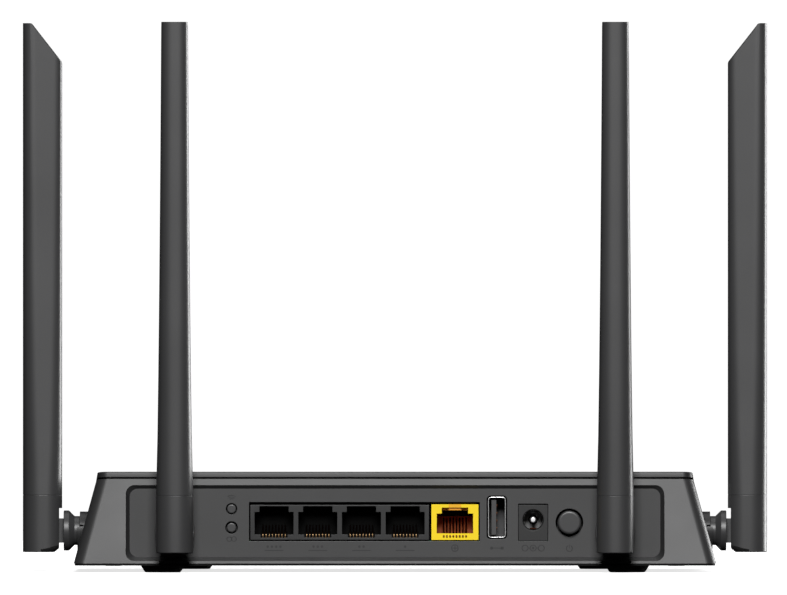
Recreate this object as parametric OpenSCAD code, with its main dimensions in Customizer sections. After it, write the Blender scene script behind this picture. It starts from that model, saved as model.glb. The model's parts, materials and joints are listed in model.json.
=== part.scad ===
// Wireless router with four fold-out antennas, built from its real pieces.
// Millimetres, +Z up. The socket panel faces -Y, +X is to the right when looking at the
// sockets, and the origin is the middle of the bounding box's floor.

/* [Body] */
// Width of the body at its lower edge
body_w = 205.6; // [205:0.1:207]
// Depth of the body at its lower edge
body_d = 135; // [132:1:150]
// Height of the top cover's rear edge above the desk
body_h = 32.3; // [32:0.1:34]
// Height of the four feet
foot_h = 2.2; // [1.8:0.1:2.6]
// Thickness of the housing's walls
wall = 2; // [1.8:0.1:2.2]
// Lean of the side walls, in degrees from upright
side_lean = 15.2; // [14:0.1:16]
// Lean of the rear wall, in degrees from upright
rear_lean = 10; // [8:0.5:10]
// Lean of the front wall, in degrees from upright
front_lean = 18; // [10:1:20]
// Fall of the top towards the front, in degrees
top_slope = 5; // [4:0.5:5.5]

/* [Antennas] */
// Height of an antenna's tip above the desk
antenna_top = 176; // [140:1:220]
// Width of an antenna seen from the side it folds to
antenna_depth = 12.6; // [12.4:0.1:12.8]
// Thickness of an antenna at its base
antenna_base_w = 12; // [11.8:0.1:12.2]
// Thickness of an antenna at its tip
antenna_tip_w = 9.4; // [8:0.1:11]
// Distance of each rear antenna from the middle
rear_antenna_x = 70.4; // [66:0.1:74]
// Distance of each side antenna in front of the socket panel
side_antenna_in = 25; // [20:1:60]

/* [Sockets] */
// Middle of the leftmost LAN socket
lan_x0 = -38.7; // [-39:0.1:-38.5]
// Distance from one LAN socket to the next
lan_pitch = 13.98; // [13.9:0.01:14]
// Middle of the WAN socket
wan_x = 19.2; // [19.1:0.1:19.6]
// Middle of the USB socket
usb_x = 32.6; // [32.3:0.1:33]
// Middle of the power inlet
dc_x = 44.2; // [44:0.1:44.6]
// Middle of the power button
power_x = 55.8; // [55.6:0.1:56.2]
// Middle of the two small buttons
small_x = -52.3; // [-53:0.1:-52]

/* [Hidden] */
$fn = 64;
STATIONS = ["side_left", "side_right", "rear_left", "rear_right"];
ANTENNA_PARTS = ["swivel_", "antenna_base_", "hinge_pin_", "radiator_", "antenna_sleeve_"];
ROOT_PARTS = [
  "upper_housing", "rear_panel", "top_cover", "bottom_tray", "feet", "case_screws",
  "light_guide", "main_board", "board_screws", "processor", "thermal_pad", "heat_sink",
  "memory_chips", "rf_shields", "lan_transformers", "capacitors", "indicator_leds",
  "lan_port_housing", "lan_contacts", "wan_port_housing", "wan_contacts", "usb_shell",
  "usb_tongue", "usb_contacts", "dc_jack_body", "dc_jack_pin", "dc_jack_spring",
  "button_board", "power_switch", "power_button", "wifi_switch", "wifi_button",
  "wps_switch", "wps_button"];

// body heights
cover_t = 1.8;
groove_t = 0.6;
edge_z = foot_h + 0.7;            // lower edge of the housing's walls
tray_top_z = foot_h + 1.8;        // inner floor of the tray
deck_z = body_h - cover_t - groove_t;  // rear edge of the housing's top face
corner_r = 3.5;
front_corner_r = 10;

// body faces, as positions along X and Y at a height z
antenna_reach = 18.3;             // boss face to the antenna's outer face
panel_in = 5.65;                  // lower rear edge to the socket panel
rear_y0 = -(body_d + panel_in - 1 - antenna_reach) / 2;
function side_x(z) = body_w / 2 - tan(side_lean) * (z - edge_z);
function rear_y(z) = rear_y0 + tan(rear_lean) * (z - edge_z);
function front_y(z) = rear_y0 + body_d - tan(front_lean) * (z - edge_z);
panel_y = rear_y0 + panel_in;     // outer face of the socket panel
deck_y = rear_y(deck_z);          // rear edge of the housing's top face
lean_m = tan(front_lean);
slope_m = tan(top_slope);
deck_front_y = (front_y(deck_z) - lean_m * slope_m * deck_y) / (1 - lean_m * slope_m);
deck_front_z = deck_z - slope_m * (deck_front_y - deck_y);
deck_len = (deck_front_y - deck_y) / cos(top_slope);

// recess around the socket panel
recess_x = 86.2;
recess_low_z = edge_z + 0.75;
recess_high_z = deck_z - 1.8;
recess_step = 1.3;
recess_rise = 1;                  // the outer outline's top edge, for the leaning rear face
panel_t = 1.6;

// circuit board
board_z = 8.45;
board_t = 1.6;
board_top = board_z + board_t;
board_x = 84;
board_y0 = panel_y + 2.4;
board_y1 = 58;
notch_y = panel_y + 11;           // the board is cut away behind the rear antennas
post_xy = [[-78, -36], [78, -36], [-78, 50], [78, 50]];
boss_xy = [[-90.5, -12], [90.5, -12], [-88, 54], [88, 54]];
screw_r = 1.25;

// sockets
lan_z0 = 10.4;
lan_z1 = 21.6;
lan_left = -46.3;
lan_w = 57.2;
lan_floor = 12.1;
lan_shoulder = 19.3;
port_depth = 16;
plug_depth = 12.2;
wan_left = 11.65;
wan_w = 15.05;
wan_floor = 12.5;
wan_shoulder = 18.85;
contact_pitch = 1.02;
usb_z = 17.6;
usb_size = [5.7, 13.1];
dc_z = 16.8;
dc_box = [9.3, 11.5];
dc_centre_z = 15.85;
dc_hole_r = 3.17;
dc_pin_r = 1.05;

// buttons
power_z = 16;
power_cap_r = 3.7;
power_travel = 2;
wifi_z = 20.35;
wps_z = 14.35;
small_travel = 0.4;
small_plunger_r = 0.9;

// antenna joint, measured outwards from the boss's face
axis_z = 13.2;                    // height of every swivel axis
fold_s = 12.5;                    // fold pin, from the boss's face
boss_r = 6.1;
boss_len = 4;
shaft_r = 4.05;
shaft_bore_r = 4.1;
neck_r = 4.65;
flange_r = 6.45;
flange_s = 5.2;
dish_r = 8.75;                    // hollow in the flange that the turning base needs
tongue_h = 7.8;
tongue_t = 4;
slot_t = 4.3;
pin_r = 1.25;
pin_bore_r = 1.3;
pin_len = 9.6;
coax_bore_r = 1.4;
coax_r = 0.65;
base_turn_r = 8.4;                // the base's inner lower end lies inside this ball
seam_z = 24.6 - axis_z;
base_low = 6.9;
side_boss_x = side_x(axis_z) + 1.1;
station_x = side_boss_x + fold_s;
side_y = panel_y + side_antenna_in;
rear_fold_y = panel_y - 1 - fold_s;

// ---------- small helpers ----------

// Rectangle with round corners, centred
module round_rect(size, r) {
  square([size.x - 2 * r, size.y], center = true);
  square([size.x, size.y - 2 * r], center = true);
  for (x = [-1, 1], y = [-1, 1])
    translate([x * (size.x / 2 - r), y * (size.y / 2 - r)]) circle(r);
}

// Slot with round ends, centred, its length along Y
module slot(w, length) {
  square([w, length - w], center = true);
  for (y = [-1, 1]) translate([0, y * (length - w) / 2]) circle(w / 2, $fn = 32);
}

// Flat plate in the XZ plane, its front face at y and its thickness t running to +Y
module upright(y, t) {
  translate([0, y + t, 0]) rotate([90, 0, 0]) linear_extrude(t) children();
}

// The body's leaning block between two heights, every wall moved in by inset
module leaning_block(inset, z0, z1) {
  hull() for (z = [z0, z1 - 0.01], x = [-1, 1], end = [0, 1]) {
    r = (end == 0 ? corner_r : front_corner_r) - inset;
    y = end == 0 ? rear_y(z) + inset + r : front_y(z) - inset - r;
    translate([x * (side_x(z) - inset - r), y, z]) cylinder(r = r, h = 0.01, $fn = 48);
  }
}

// Everything below the sloping plane whose rear edge is at height z
module below_slope(z) {
  translate([0, rear_y(z), z]) rotate([-top_slope, 0, 0])
    translate([-130, -40, -60]) cube([260, 220, 60]);
}

// A frame on the sloping top: x across, y down the slope from the rear edge, z out of it
module on_slope(z) {
  translate([0, rear_y(z), z]) rotate([-top_slope, 0, 0]) children();
}

// Drafted hollow that leads back to the socket panel, grown by extra on every side
module recess_block(extra) {
  hull() {
    upright(panel_y - 0.01, 0.01) translate([0, (recess_low_z + recess_high_z) / 2])
      round_rect([2 * (recess_x - recess_step + extra),
        recess_high_z - recess_low_z - 2 * recess_step + 2 * extra], 2.6 + extra);
    upright(rear_y0 - 0.5, 0.01)
      translate([0, (recess_low_z + recess_high_z + recess_rise) / 2])
        round_rect([2 * (recess_x + 0.15 + extra),
          recess_high_z - recess_low_z + recess_rise + 0.1 + 2 * extra], 3.4 + extra);
  }
}

// A piece on each antenna's fold axis: local +X out of the body, +Z up
module at_station(i) {
  if (i == 0) translate([-station_x, side_y, axis_z]) mirror([1, 0, 0]) children();
  if (i == 1) translate([station_x, side_y, axis_z]) children();
  if (i == 2) translate([-rear_antenna_x, rear_fold_y, axis_z]) rotate([0, 0, -90]) children();
  if (i == 3) translate([rear_antenna_x, rear_fold_y, axis_z]) rotate([0, 0, -90]) children();
}

// Cylinder along X from x0 to x1
module x_rod(r, x0, x1) {
  translate([x0, 0, 0]) rotate([0, 90, 0]) cylinder(r = r, h = x1 - x0);
}

// Cylinder along Y from y0 to y1
module y_rod(r, y0, y1) {
  translate([0, y0, 0]) rotate([-90, 0, 0]) cylinder(r = r, h = y1 - y0);
}

// ---------- housing ----------

// Where the eight indicator windows stand on the sloping top
module at_windows() {
  for (i = [0:7]) translate([(i - 3.5) * 11, deck_len - 14, 0]) children();
}

module upper_housing() color([0.22, 0.22, 0.23]) difference() {
  union() {
    intersection() {
      difference() {
        leaning_block(0, edge_z, body_h);
        intersection() {
          leaning_block(wall, edge_z - 1, body_h);
          below_slope(deck_z - wall);
        }
      }
      below_slope(deck_z);
    }
    on_slope(deck_z) linear_extrude(groove_t) deck_outline(1.7);
    intersection() {
      recess_block(1.6);
      leaning_block(0.5, edge_z, deck_z - 0.5);
    }
    for (p = boss_xy) intersection() {
      translate([p.x, p.y, edge_z + 1.2]) cylinder(r = 3.2, h = 30);
      below_slope(deck_z - 0.5);
    }
    for (m = [0, 1]) mirror([m, 0, 0]) translate([0, side_y, axis_z]) side_boss();
  }
  recess_block(0);
  upright(panel_y, panel_t + 0.1) panel_outline(0.1);
  for (p = boss_xy) translate([p.x, p.y, edge_z]) cylinder(r = screw_r + 0.05, h = 9);
  for (m = [0, 1]) mirror([m, 0, 0]) translate([0, side_y, axis_z]) {
    x_rod(shaft_bore_r, side_boss_x - boss_len - 1, side_boss_x + 2);
    x_rod(neck_r + 0.2, side_boss_x, side_boss_x + 2);
    x_rod(shaft_r + 1.3, side_boss_x - boss_len - 3, side_boss_x - boss_len);
    translate([side_boss_x - 1.2, -boss_r - 1, 1.4]) cube([3, 2 * boss_r + 2, 0.5]);
  }
  on_slope(deck_z) at_windows() translate([0, 0, -wall - 2]) linear_extrude(8)
    round_rect([5.2, 1.8], 0.6);
}

// Boss on the side wall; its lower half stands out a little further
module side_boss() {
  x_rod(boss_r, side_boss_x - boss_len, side_boss_x);
  intersection() {
    x_rod(boss_r, side_boss_x - 1, side_boss_x + 0.8);
    translate([0, -boss_r - 1, -boss_r - 1]) cube([200, 2 * boss_r + 2, boss_r + 2.4]);
  }
}

// Outline of the flat deck, moved in by inset: wider at the front than at the rear
module deck_outline(inset) {
  rear_half = side_x(deck_z) - corner_r;
  front_half = side_x(deck_front_z) - front_corner_r;
  hull() for (x = [-1, 1]) {
    translate([x * rear_half, corner_r]) circle(corner_r - inset);
    translate([x * front_half, deck_len - front_corner_r]) circle(front_corner_r - inset);
  }
}

module top_cover() color([0.19, 0.19, 0.2]) on_slope(deck_z) difference() {
  translate([0, 0, groove_t]) linear_extrude(cover_t) difference() {
    deck_outline(0.25);
    at_windows() round_rect([4.8, 1.4], 0.5);
  }
  for (x = [-1, 1], i = [0:9]) translate([x * (36 + i * 5), 24, cover_t + groove_t - 0.6])
    linear_extrude(1) slot(2, 26);
}

module light_guide() color([0.9, 0.92, 0.95]) on_slope(deck_z) {
  at_windows() translate([0, 0, -wall - 1.2]) linear_extrude(wall + 1.2 + groove_t + cover_t - 0.1)
    round_rect([4.5, 1.1], 0.4);
  translate([0, deck_len - 14, -wall - 1.9]) linear_extrude(1.2) round_rect([86, 4], 1);
}

// Outline of the socket panel's plate, grown by extra
module panel_outline(extra) {
  low = tray_top_z + 0.2;
  high = recess_high_z - 0.2;
  translate([0, (low + high) / 2])
    round_rect([2 * (recess_x + extra), high - low + 2 * extra], 3);
}

module rear_panel() color([0.24, 0.24, 0.25]) difference() {
  union() {
    upright(panel_y, panel_t) panel_outline(0);
    for (x = [-1, 1]) translate([x * rear_antenna_x, 0, axis_z])
      y_rod(boss_r, panel_y - 1, panel_y - 1 + boss_len);
  }
  for (x = [-1, 1]) translate([x * rear_antenna_x, 0, axis_z])
    y_rod(shaft_bore_r, panel_y - 3, panel_y + 6);
  upright(panel_y - 1, 4) translate([lan_left - 0.3, lan_z0 - 0.3])
    square([wan_left + wan_w - lan_left + 0.6, 12]);
  upright(panel_y - 1, 4) translate([usb_x, usb_z])
    round_rect([usb_size.x + 0.8, usb_size.y + 0.8], 1.2);
  upright(panel_y - 1, 4) translate([dc_x, dc_centre_z]) square(dc_box + [0.4, 0.4], center = true);
  translate([power_x, 0, power_z]) y_rod(power_cap_r + 0.75, panel_y - 1, panel_y + 4);
  translate([small_x, 0, wifi_z]) y_rod(1.8, panel_y - 1, panel_y + 4);
  translate([small_x, 0, wps_z]) y_rod(2.05, panel_y - 1, panel_y + 4);
}

// Outline of the body's lower edge, moved in by inset
module tray_outline(inset) {
  hull() for (x = [-1, 1]) {
    translate([x * (body_w / 2 - corner_r), rear_y0 + corner_r]) circle(corner_r - inset);
    translate([x * (body_w / 2 - front_corner_r), rear_y0 + body_d - front_corner_r])
      circle(front_corner_r - inset);
  }
}

// Keyhole for a wall screw: the head goes in at the middle and the shank slides to +Y
module keyhole() {
  circle(3.8);
  translate([-2, 0]) square([4, 8]);
  translate([0, 8]) circle(2);
}

keyhole_x = 50;
keyhole_y = 6;

module bottom_tray() color([0.08, 0.08, 0.08]) {
  difference() {
    union() {
      translate([0, 0, foot_h]) linear_extrude(edge_z - foot_h) tray_outline(0.3);
      translate([0, 0, edge_z - 0.1]) linear_extrude(tray_top_z - edge_z + 0.1) difference() {
        tray_outline(wall + 0.8);
        translate([-recess_x - 2.5, rear_y0]) square([2 * recess_x + 5, panel_in + 0.2]);
      }
      for (p = post_xy) translate([p.x, p.y, tray_top_z - 0.5])
        cylinder(r = 3, h = board_z - tray_top_z + 0.5);
      for (p = boss_xy) translate([p.x, p.y, foot_h]) cylinder(r = 4.6, h = 1.85);
    }
    for (x = [-1, 1]) translate([x * keyhole_x, keyhole_y, 0]) linear_extrude(6) keyhole();
    for (p = boss_xy) translate([p.x, p.y, 0]) {
      cylinder(r = 1.6, h = 6);
      cylinder(r = 2.9, h = foot_h + 0.7);
    }
    for (p = post_xy) translate([p.x, p.y, tray_top_z - 0.2]) cylinder(r = 1, h = 8);
    for (x = [-1, 1], y = [-38, 36], i = [-6:6]) translate([x * 45 + i * 5, y, 0])
      linear_extrude(6) slot(2, 18);
    translate([0, 6, 0]) linear_extrude(foot_h + 0.3) square([62, 34], center = true);
  }
}

rear_foot_xy = [rear_antenna_x + 3.95, rear_y0 + 10];
front_foot_xy = [65.6, rear_y0 + body_d - 14];

module feet() color([0.05, 0.05, 0.05]) for (x = [-1, 1]) {
  for (p = [rear_foot_xy, front_foot_xy]) translate([x * p.x, p.y, 0])
    cylinder(r1 = 5.6, r2 = 7.1, h = foot_h);
}

// Pan-head screw standing on its head, its shank pointing up
module screw(head_r, head_h, shank_r, length) {
  difference() {
    cylinder(r = head_r, h = head_h);
    for (a = [0, 90]) rotate(a) translate([-head_r * 0.6, -0.35, -0.1])
      cube([head_r * 1.2, 0.7, head_h * 0.6]);
  }
  translate([0, 0, head_h]) cylinder(r = shank_r, h = length);
}

module case_screws() color("silver") for (p = boss_xy)
  translate([p.x, p.y, foot_h - 0.55]) screw(2.6, 1.25, screw_r, 7.5);

module board_screws() color("silver") for (p = post_xy)
  translate([p.x, p.y, board_top + 1.4]) rotate([180, 0, 0]) screw(2.4, 1.4, 0.95, 5);

// ---------- electronics ----------

module main_board() color([0.05, 0.3, 0.15])
  translate([0, 0, board_z]) linear_extrude(board_t) difference() {
    translate([-board_x, board_y0]) square([2 * board_x, board_y1 - board_y0]);
    for (x = [-1, 1]) translate([x * 73 - 12, board_y0 - 1])
      square([24, notch_y - board_y0 + 1]);
    for (p = post_xy) translate(p) circle(1.3);
  }

module on_board(x, y) {
  translate([x, y, board_top + 0.02]) children();
}

module processor() color([0.1, 0.1, 0.1]) on_board(0, 10) translate([-8, -8, 0]) cube([16, 16, 1.2]);

module thermal_pad() color([0.5, 0.55, 0.7]) on_board(0, 10) translate([-7.5, -7.5, 1.2])
  cube([15, 15, 0.6]);

module heat_sink() color([0.75, 0.75, 0.76]) on_board(0, 10) {
  translate([-14, -14, 1.82]) cube([28, 28, 1.4]);
  for (i = [0:7]) translate([-14 + i * 3.8, -14, 3.2]) cube([1.2, 28, 4.6]);
}

module memory_chips() color([0.1, 0.1, 0.1]) {
  on_board(22, 4) cube([8, 12.5, 1]);
  on_board(-34, 6) cube([6, 8, 1]);
}

module rf_shields() color("silver") for (x = [-62, 34]) on_board(x, 20) difference() {
  cube([28, 24, 2.6]);
  translate([0.3, 0.3, -0.1]) cube([27.4, 23.4, 2.4]);
}

module lan_transformers() color([0.12, 0.12, 0.12]) for (x = [-42, -12]) on_board(x, -30)
  cube([24, 11, 5]);

module capacitors() color([0.15, 0.15, 0.3]) for (x = [42, 52]) on_board(x, -28) {
  cylinder(r = 4, h = 11);
}

module indicator_leds() color("white") for (i = [0:7])
  on_board((i - 3.5) * 11, deck_y + (deck_len - 14) * cos(top_slope) + 0.2)
    translate([-1, -0.6, 0]) cube([2, 1.2, 0.8]);

// ---------- sockets ----------

// Front opening of an RJ45 socket, its latch notch on top
module jack_opening(w, floor_z, shoulder_z, notch_w, top_z) {
  translate([-w / 2, floor_z]) square([w, shoulder_z - floor_z]);
  translate([-notch_w / 2, shoulder_z - 0.1]) square([notch_w, top_z - shoulder_z + 0.1]);
}

// Eight spring wires that rise from the lip of a socket's floor towards its back
module jack_wires(floor_z) {
  for (i = [0:7]) translate([(i - 3.5) * contact_pitch, panel_y + 1.4, floor_z - 0.35])
    rotate([-68, 0, 0]) cylinder(r = 0.22, h = 10, $fn = 24);
  translate([-4.1, panel_y + 0.3, floor_z - 0.9]) cube([8.2, 1.2, 0.5]);
}

module lan_port_housing() color([0.2, 0.2, 0.2]) difference() {
  upright(panel_y - 0.3, port_depth) translate([lan_left, lan_z0]) square([lan_w, lan_z1 - lan_z0]);
  for (i = [0:3]) translate([lan_x0 + i * lan_pitch, 0, 0]) {
    upright(panel_y - 1, plug_depth + 1) jack_opening(12.4, lan_floor, lan_shoulder, 9.3, 21.15);
    translate([-4.3, panel_y - 1, lan_floor - 1]) cube([8.6, plug_depth + 1, 1.1]);
  }
}

module lan_contacts() color([0.75, 0.55, 0.25]) for (i = [0:3])
  translate([lan_x0 + i * lan_pitch, 0, 0]) jack_wires(lan_floor);

module wan_port_housing() color([1, 0.8, 0]) difference() {
  upright(panel_y - 0.3, port_depth) translate([wan_left, lan_z0])
    square([wan_w, lan_z1 - lan_z0 + 0.2]);
  translate([wan_x, 0, 0]) {
    upright(panel_y - 1, plug_depth + 1) jack_opening(11.65, wan_floor, wan_shoulder, 8.45, 20.75);
    upright(panel_y - 1, 5) translate([-2, 20.6]) square([4, 2]);
    translate([-4.3, panel_y + 1.2, wan_floor - 1]) cube([8.6, plug_depth - 1.2, 1.1]);
    for (i = [0:7]) translate([(i - 3.5) * contact_pitch - 0.25, panel_y - 1, wan_floor - 1.2])
      cube([0.5, 3, 0.6]);
  }
}

module wan_contacts() color([0.75, 0.55, 0.25]) translate([wan_x, 0.9, 0]) {
  for (i = [0:7]) translate([(i - 3.5) * contact_pitch, panel_y + 1.4, wan_floor - 0.35])
    rotate([-68, 0, 0]) cylinder(r = 0.22, h = 9.4, $fn = 24);
  translate([-4.1, panel_y + 0.6, wan_floor - 0.9]) cube([8.2, 1.2, 0.5]);
}

usb_depth = 14;

module usb_shell() color([0.8, 0.8, 0.8]) {
  upright(panel_y - 0.2, usb_depth) translate([usb_x, usb_z]) difference() {
    round_rect(usb_size, 1);
    round_rect(usb_size - [0.6, 0.6], 0.7);
  }
  upright(panel_y - 0.2 + usb_depth - 0.3, 0.3) translate([usb_x, usb_z])
    round_rect(usb_size - [0.4, 0.4], 0.8);
}

module usb_tongue() color([0.12, 0.12, 0.12]) {
  translate([usb_x - 1.75, panel_y + 1, usb_z - 5.6]) cube([1.6, 9.5, 11.2]);
  upright(panel_y + 10.4, 2.9) translate([usb_x, usb_z]) round_rect(usb_size - [0.7, 0.7], 0.65);
}

module usb_contacts() color([0.8, 0.65, 0.3]) for (i = [0:3])
  translate([usb_x - 0.13, panel_y + 1.6, usb_z - 4 + i * 2.4]) cube([0.25, 8, 0.9]);

module dc_jack_body() color([0.2, 0.2, 0.2]) difference() {
  upright(panel_y - 0.1, 13) translate([dc_x, dc_centre_z]) square(dc_box, center = true);
  translate([dc_x, 0, dc_z]) y_rod(dc_hole_r, panel_y - 1, panel_y + 9.5);
}

module dc_jack_pin() color([0.9, 0.9, 0.9]) translate([dc_x, 0, dc_z]) {
  y_rod(dc_pin_r, panel_y + 0.9, panel_y + 9.5);
}

module dc_jack_spring() color([0.8, 0.8, 0.7]) translate([dc_x, 0, dc_z - dc_hole_r + 0.25])
  translate([-1.1, panel_y + 2, 0]) cube([2.2, 7, 0.3]);

// ---------- buttons ----------

module button_board() color([0.05, 0.3, 0.15])
  translate([small_x - 4, panel_y + 7, board_top + 0.05]) cube([8, 1.2, 13.2]);

module small_switch(z) translate([small_x, 0, z]) difference() {
  upright(panel_y + 3, 3.95) square([5.6, 5.4], center = true);
  y_rod(small_plunger_r + 0.06, panel_y + 2, panel_y + 5.8);
}

// Cap in the panel's hole with a plunger that runs in the switch
module small_button(z, cap_r) translate([small_x, 0, z]) {
  y_rod(cap_r, panel_y - 0.4, panel_y + 2.4);
  y_rod(small_plunger_r, panel_y + 2.3, panel_y + 5.2);
}

module power_switch() color([0.12, 0.12, 0.12]) translate([power_x, 0, 0]) difference() {
  translate([-4, panel_y + 5.5, board_top + 0.05]) cube([8, 12, 9]);
  translate([0, 0, power_z]) y_rod(1.56, panel_y + 4, panel_y + 13.5);
}

module power_button() color([0.2, 0.2, 0.2]) translate([power_x, 0, power_z]) {
  y_rod(power_cap_r, panel_y - 2.6, panel_y + 3);
  y_rod(1.5, panel_y + 2.9, panel_y + 11);
}

// ---------- antennas: drawn about the fold axis, +X out of the body, +Z up ----------

module swivel() color([0.16, 0.16, 0.16]) difference() {
  union() {
    x_rod(shaft_r, -fold_s - boss_len - 0.3, -fold_s);
    x_rod(shaft_r + 0.7, -fold_s - boss_len - 1.6, -fold_s - boss_len - 0.2);
    x_rod(neck_r, -fold_s, -fold_s + 1.8);
    translate([-fold_s + 1.7, 0, 0]) rotate([0, 90, 0])
      cylinder(r1 = neck_r, r2 = flange_r, h = 1.8);
    difference() {
      x_rod(flange_r, -fold_s + 3.4, -fold_s + flange_s);
      sphere(dish_r);
    }
    tongue();
  }
  x_rod(coax_bore_r, -fold_s - 10, -5.4);
  y_rod(pin_bore_r, -5, 5);
}

module tongue() {
  translate([-fold_s + 3.4, -tongue_t / 2, -tongue_h / 2]) cube([fold_s - 3.4, tongue_t, tongue_h]);
  y_rod(tongue_h / 2, -tongue_t / 2, tongue_t / 2);
}

// Section of the antenna at its base: out of the body along x, across along y
module base_section() {
  translate([antenna_reach - antenna_depth / 2 - fold_s, 0])
    round_rect([antenna_depth, antenna_base_w], 4.5);
}

module antenna_base() color([0.16, 0.16, 0.16]) difference() {
  union() {
    intersection() {
      translate([0, 0, -base_low]) linear_extrude(seam_z + base_low) base_section();
      union() {
        translate([0, -10, -20]) cube([20, 20, 60]);
        sphere(base_turn_r);
        translate([-20, -10, 0]) cube([21, 20, 40]);
      }
    }
    translate([antenna_reach - antenna_depth / 2 - fold_s, 0, seam_z - 0.1]) linear_extrude(4)
      round_rect([antenna_depth - 3.2, antenna_base_w - 3.2], 2.9);
  }
  translate([-11, -10, -20]) cube([5.2, 20, 27.2]);
  translate([-12, -slot_t / 2, -20]) cube([12 + 4.3, slot_t, 24.2]);
  y_rod(pin_r, -4.9, 10);
}

module hinge_pin() color("silver") y_rod(pin_r, -4.8, pin_len - 4.8);

module radiator() color([0.72, 0.45, 0.2]) {
  translate([-0.5, 0, seam_z + 3.95]) cylinder(r = 1.6, h = 46);
  translate([-0.5, 0, seam_z + 49]) cylinder(r = 0.8, h = antenna_top - axis_z - seam_z - 72);
}

// The blade between two heights, thinned by inset all round
module blade(inset, z0, z1) {
  mid_x = antenna_reach - antenna_depth / 2 - fold_s;
  hull() {
    translate([mid_x, 0, z0]) linear_extrude(0.01)
      round_rect([antenna_depth - 2 * inset, antenna_base_w - 0.1 - 2 * inset], 4.4 - inset, $fn = 48);
    translate([mid_x, 0, z1 - 0.01]) linear_extrude(0.01)
      round_rect([antenna_depth - 2 * inset, antenna_tip_w - 2 * inset], 2.4 - inset, $fn = 48);
  }
}

// Everything above the antenna's slanted tip, lowered by drop
module tip_cut(drop) {
  top = antenna_top - axis_z - drop;
  outer = antenna_reach - fold_s;
  rotate([90, 0, 0]) translate([0, 0, -20]) linear_extrude(40)
    polygon([[outer - 2.8, top], [outer - antenna_depth - 0.5, top - 13.2],
      [outer - antenna_depth - 0.5, top + 20], [outer - 2.8, top + 20]]);
}

module antenna_sleeve() color([0.16, 0.16, 0.16]) difference() {
  blade(0, seam_z, antenna_top - axis_z);
  difference() {
    blade(1.4, seam_z - 0.02, antenna_top - axis_z - 3);
    tip_cut(2.6);
  }
  tip_cut(0);
}

// Coax lead from the board into the swivel's bore, lying on the swivel's axis
module coax_lead(i) color([0.25, 0.25, 0.25]) at_station(i) {
  inner = i < 2 ? -fold_s - 21 : -fold_s - 14;
  x_rod(coax_r, inner, -fold_s + 2);
  translate([inner, 0, -1.6]) rotate([90, 0, 0]) rotate([0, 0, 90]) rotate_extrude(angle = 90)
    translate([1.6, 0]) circle(coax_r);
  translate([inner - 1.6, 0, board_top - axis_z + 0.9]) cylinder(r = coax_r, h = 0.4);
  translate([inner - 1.6, 0, board_top - axis_z + 0.03]) cylinder(r = 1.5, h = 0.95);
}

// ---------- the whole router ----------

upper_housing();
rear_panel();
top_cover();
bottom_tray();
feet();
case_screws();
light_guide();
main_board();
board_screws();
processor();
thermal_pad();
heat_sink();
memory_chips();
rf_shields();
lan_transformers();
capacitors();
indicator_leds();
lan_port_housing();
lan_contacts();
wan_port_housing();
wan_contacts();
usb_shell();
usb_tongue();
usb_contacts();
dc_jack_body();
dc_jack_pin();
dc_jack_spring();
button_board();
power_switch();
power_button();
color([0.1, 0.1, 0.1]) small_switch(wifi_z);  // wifi_switch
color([0.2, 0.2, 0.2]) small_button(wifi_z, 1.45);  // wifi_button
color([0.1, 0.1, 0.1]) small_switch(wps_z);  // wps_switch
color([0.2, 0.2, 0.2]) small_button(wps_z, 1.5);  // wps_button
for (i = [0:3]) {
  coax_lead(i);
  at_station(i) swivel();
  at_station(i) antenna_base();
  at_station(i) hinge_pin();
  at_station(i) radiator();
  at_station(i) antenna_sleeve();
}
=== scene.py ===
"""Builds the looks of a wireless router with four fold-out antennas around its CAD frame."""

import json
from contextlib import contextmanager
from math import cos, pi, radians, sin, sqrt, tan

import bmesh
import bpy
from bpy.props import FloatProperty, FloatVectorProperty, PointerProperty
from mathutils import Matrix, Vector


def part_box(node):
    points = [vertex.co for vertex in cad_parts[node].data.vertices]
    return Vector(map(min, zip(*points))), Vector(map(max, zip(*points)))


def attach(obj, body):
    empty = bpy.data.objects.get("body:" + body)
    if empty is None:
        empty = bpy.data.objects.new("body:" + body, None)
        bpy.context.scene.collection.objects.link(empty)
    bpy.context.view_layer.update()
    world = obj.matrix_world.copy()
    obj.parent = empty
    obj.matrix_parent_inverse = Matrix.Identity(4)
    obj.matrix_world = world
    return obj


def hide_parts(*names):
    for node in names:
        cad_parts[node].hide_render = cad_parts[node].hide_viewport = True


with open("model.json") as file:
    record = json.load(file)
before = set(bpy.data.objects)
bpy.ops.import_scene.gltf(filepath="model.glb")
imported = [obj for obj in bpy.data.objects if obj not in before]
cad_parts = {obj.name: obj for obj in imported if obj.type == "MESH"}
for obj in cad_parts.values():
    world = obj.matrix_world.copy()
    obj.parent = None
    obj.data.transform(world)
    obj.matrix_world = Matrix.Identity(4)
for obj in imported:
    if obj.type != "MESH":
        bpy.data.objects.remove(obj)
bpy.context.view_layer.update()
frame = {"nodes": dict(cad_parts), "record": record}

bl_info = {
    "name": "Wireless Router",
    "version": (1, 0, 0),
    "blender": (4, 5, 0),
    "location": "View3D > Sidebar > Router",
    "description": "Dresses the router's CAD frame with finished pieces and materials",
    "category": "Object",
}

MM = 0.001
MERGE = 0.002 * MM
STATIONS = ("side_left", "side_right", "rear_left", "rear_right")


# ---------- places taken from the frame, in millimetres ----------


def low(node):
    """The lowest corner of a CAD node, in millimetres."""
    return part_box(node)[0] / MM


def high(node):
    """The highest corner of a CAD node, in millimetres."""
    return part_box(node)[1] / MM


def middle(node):
    """The centre of a CAD node's box, in millimetres."""
    return (low(node) + high(node)) / 2


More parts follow.
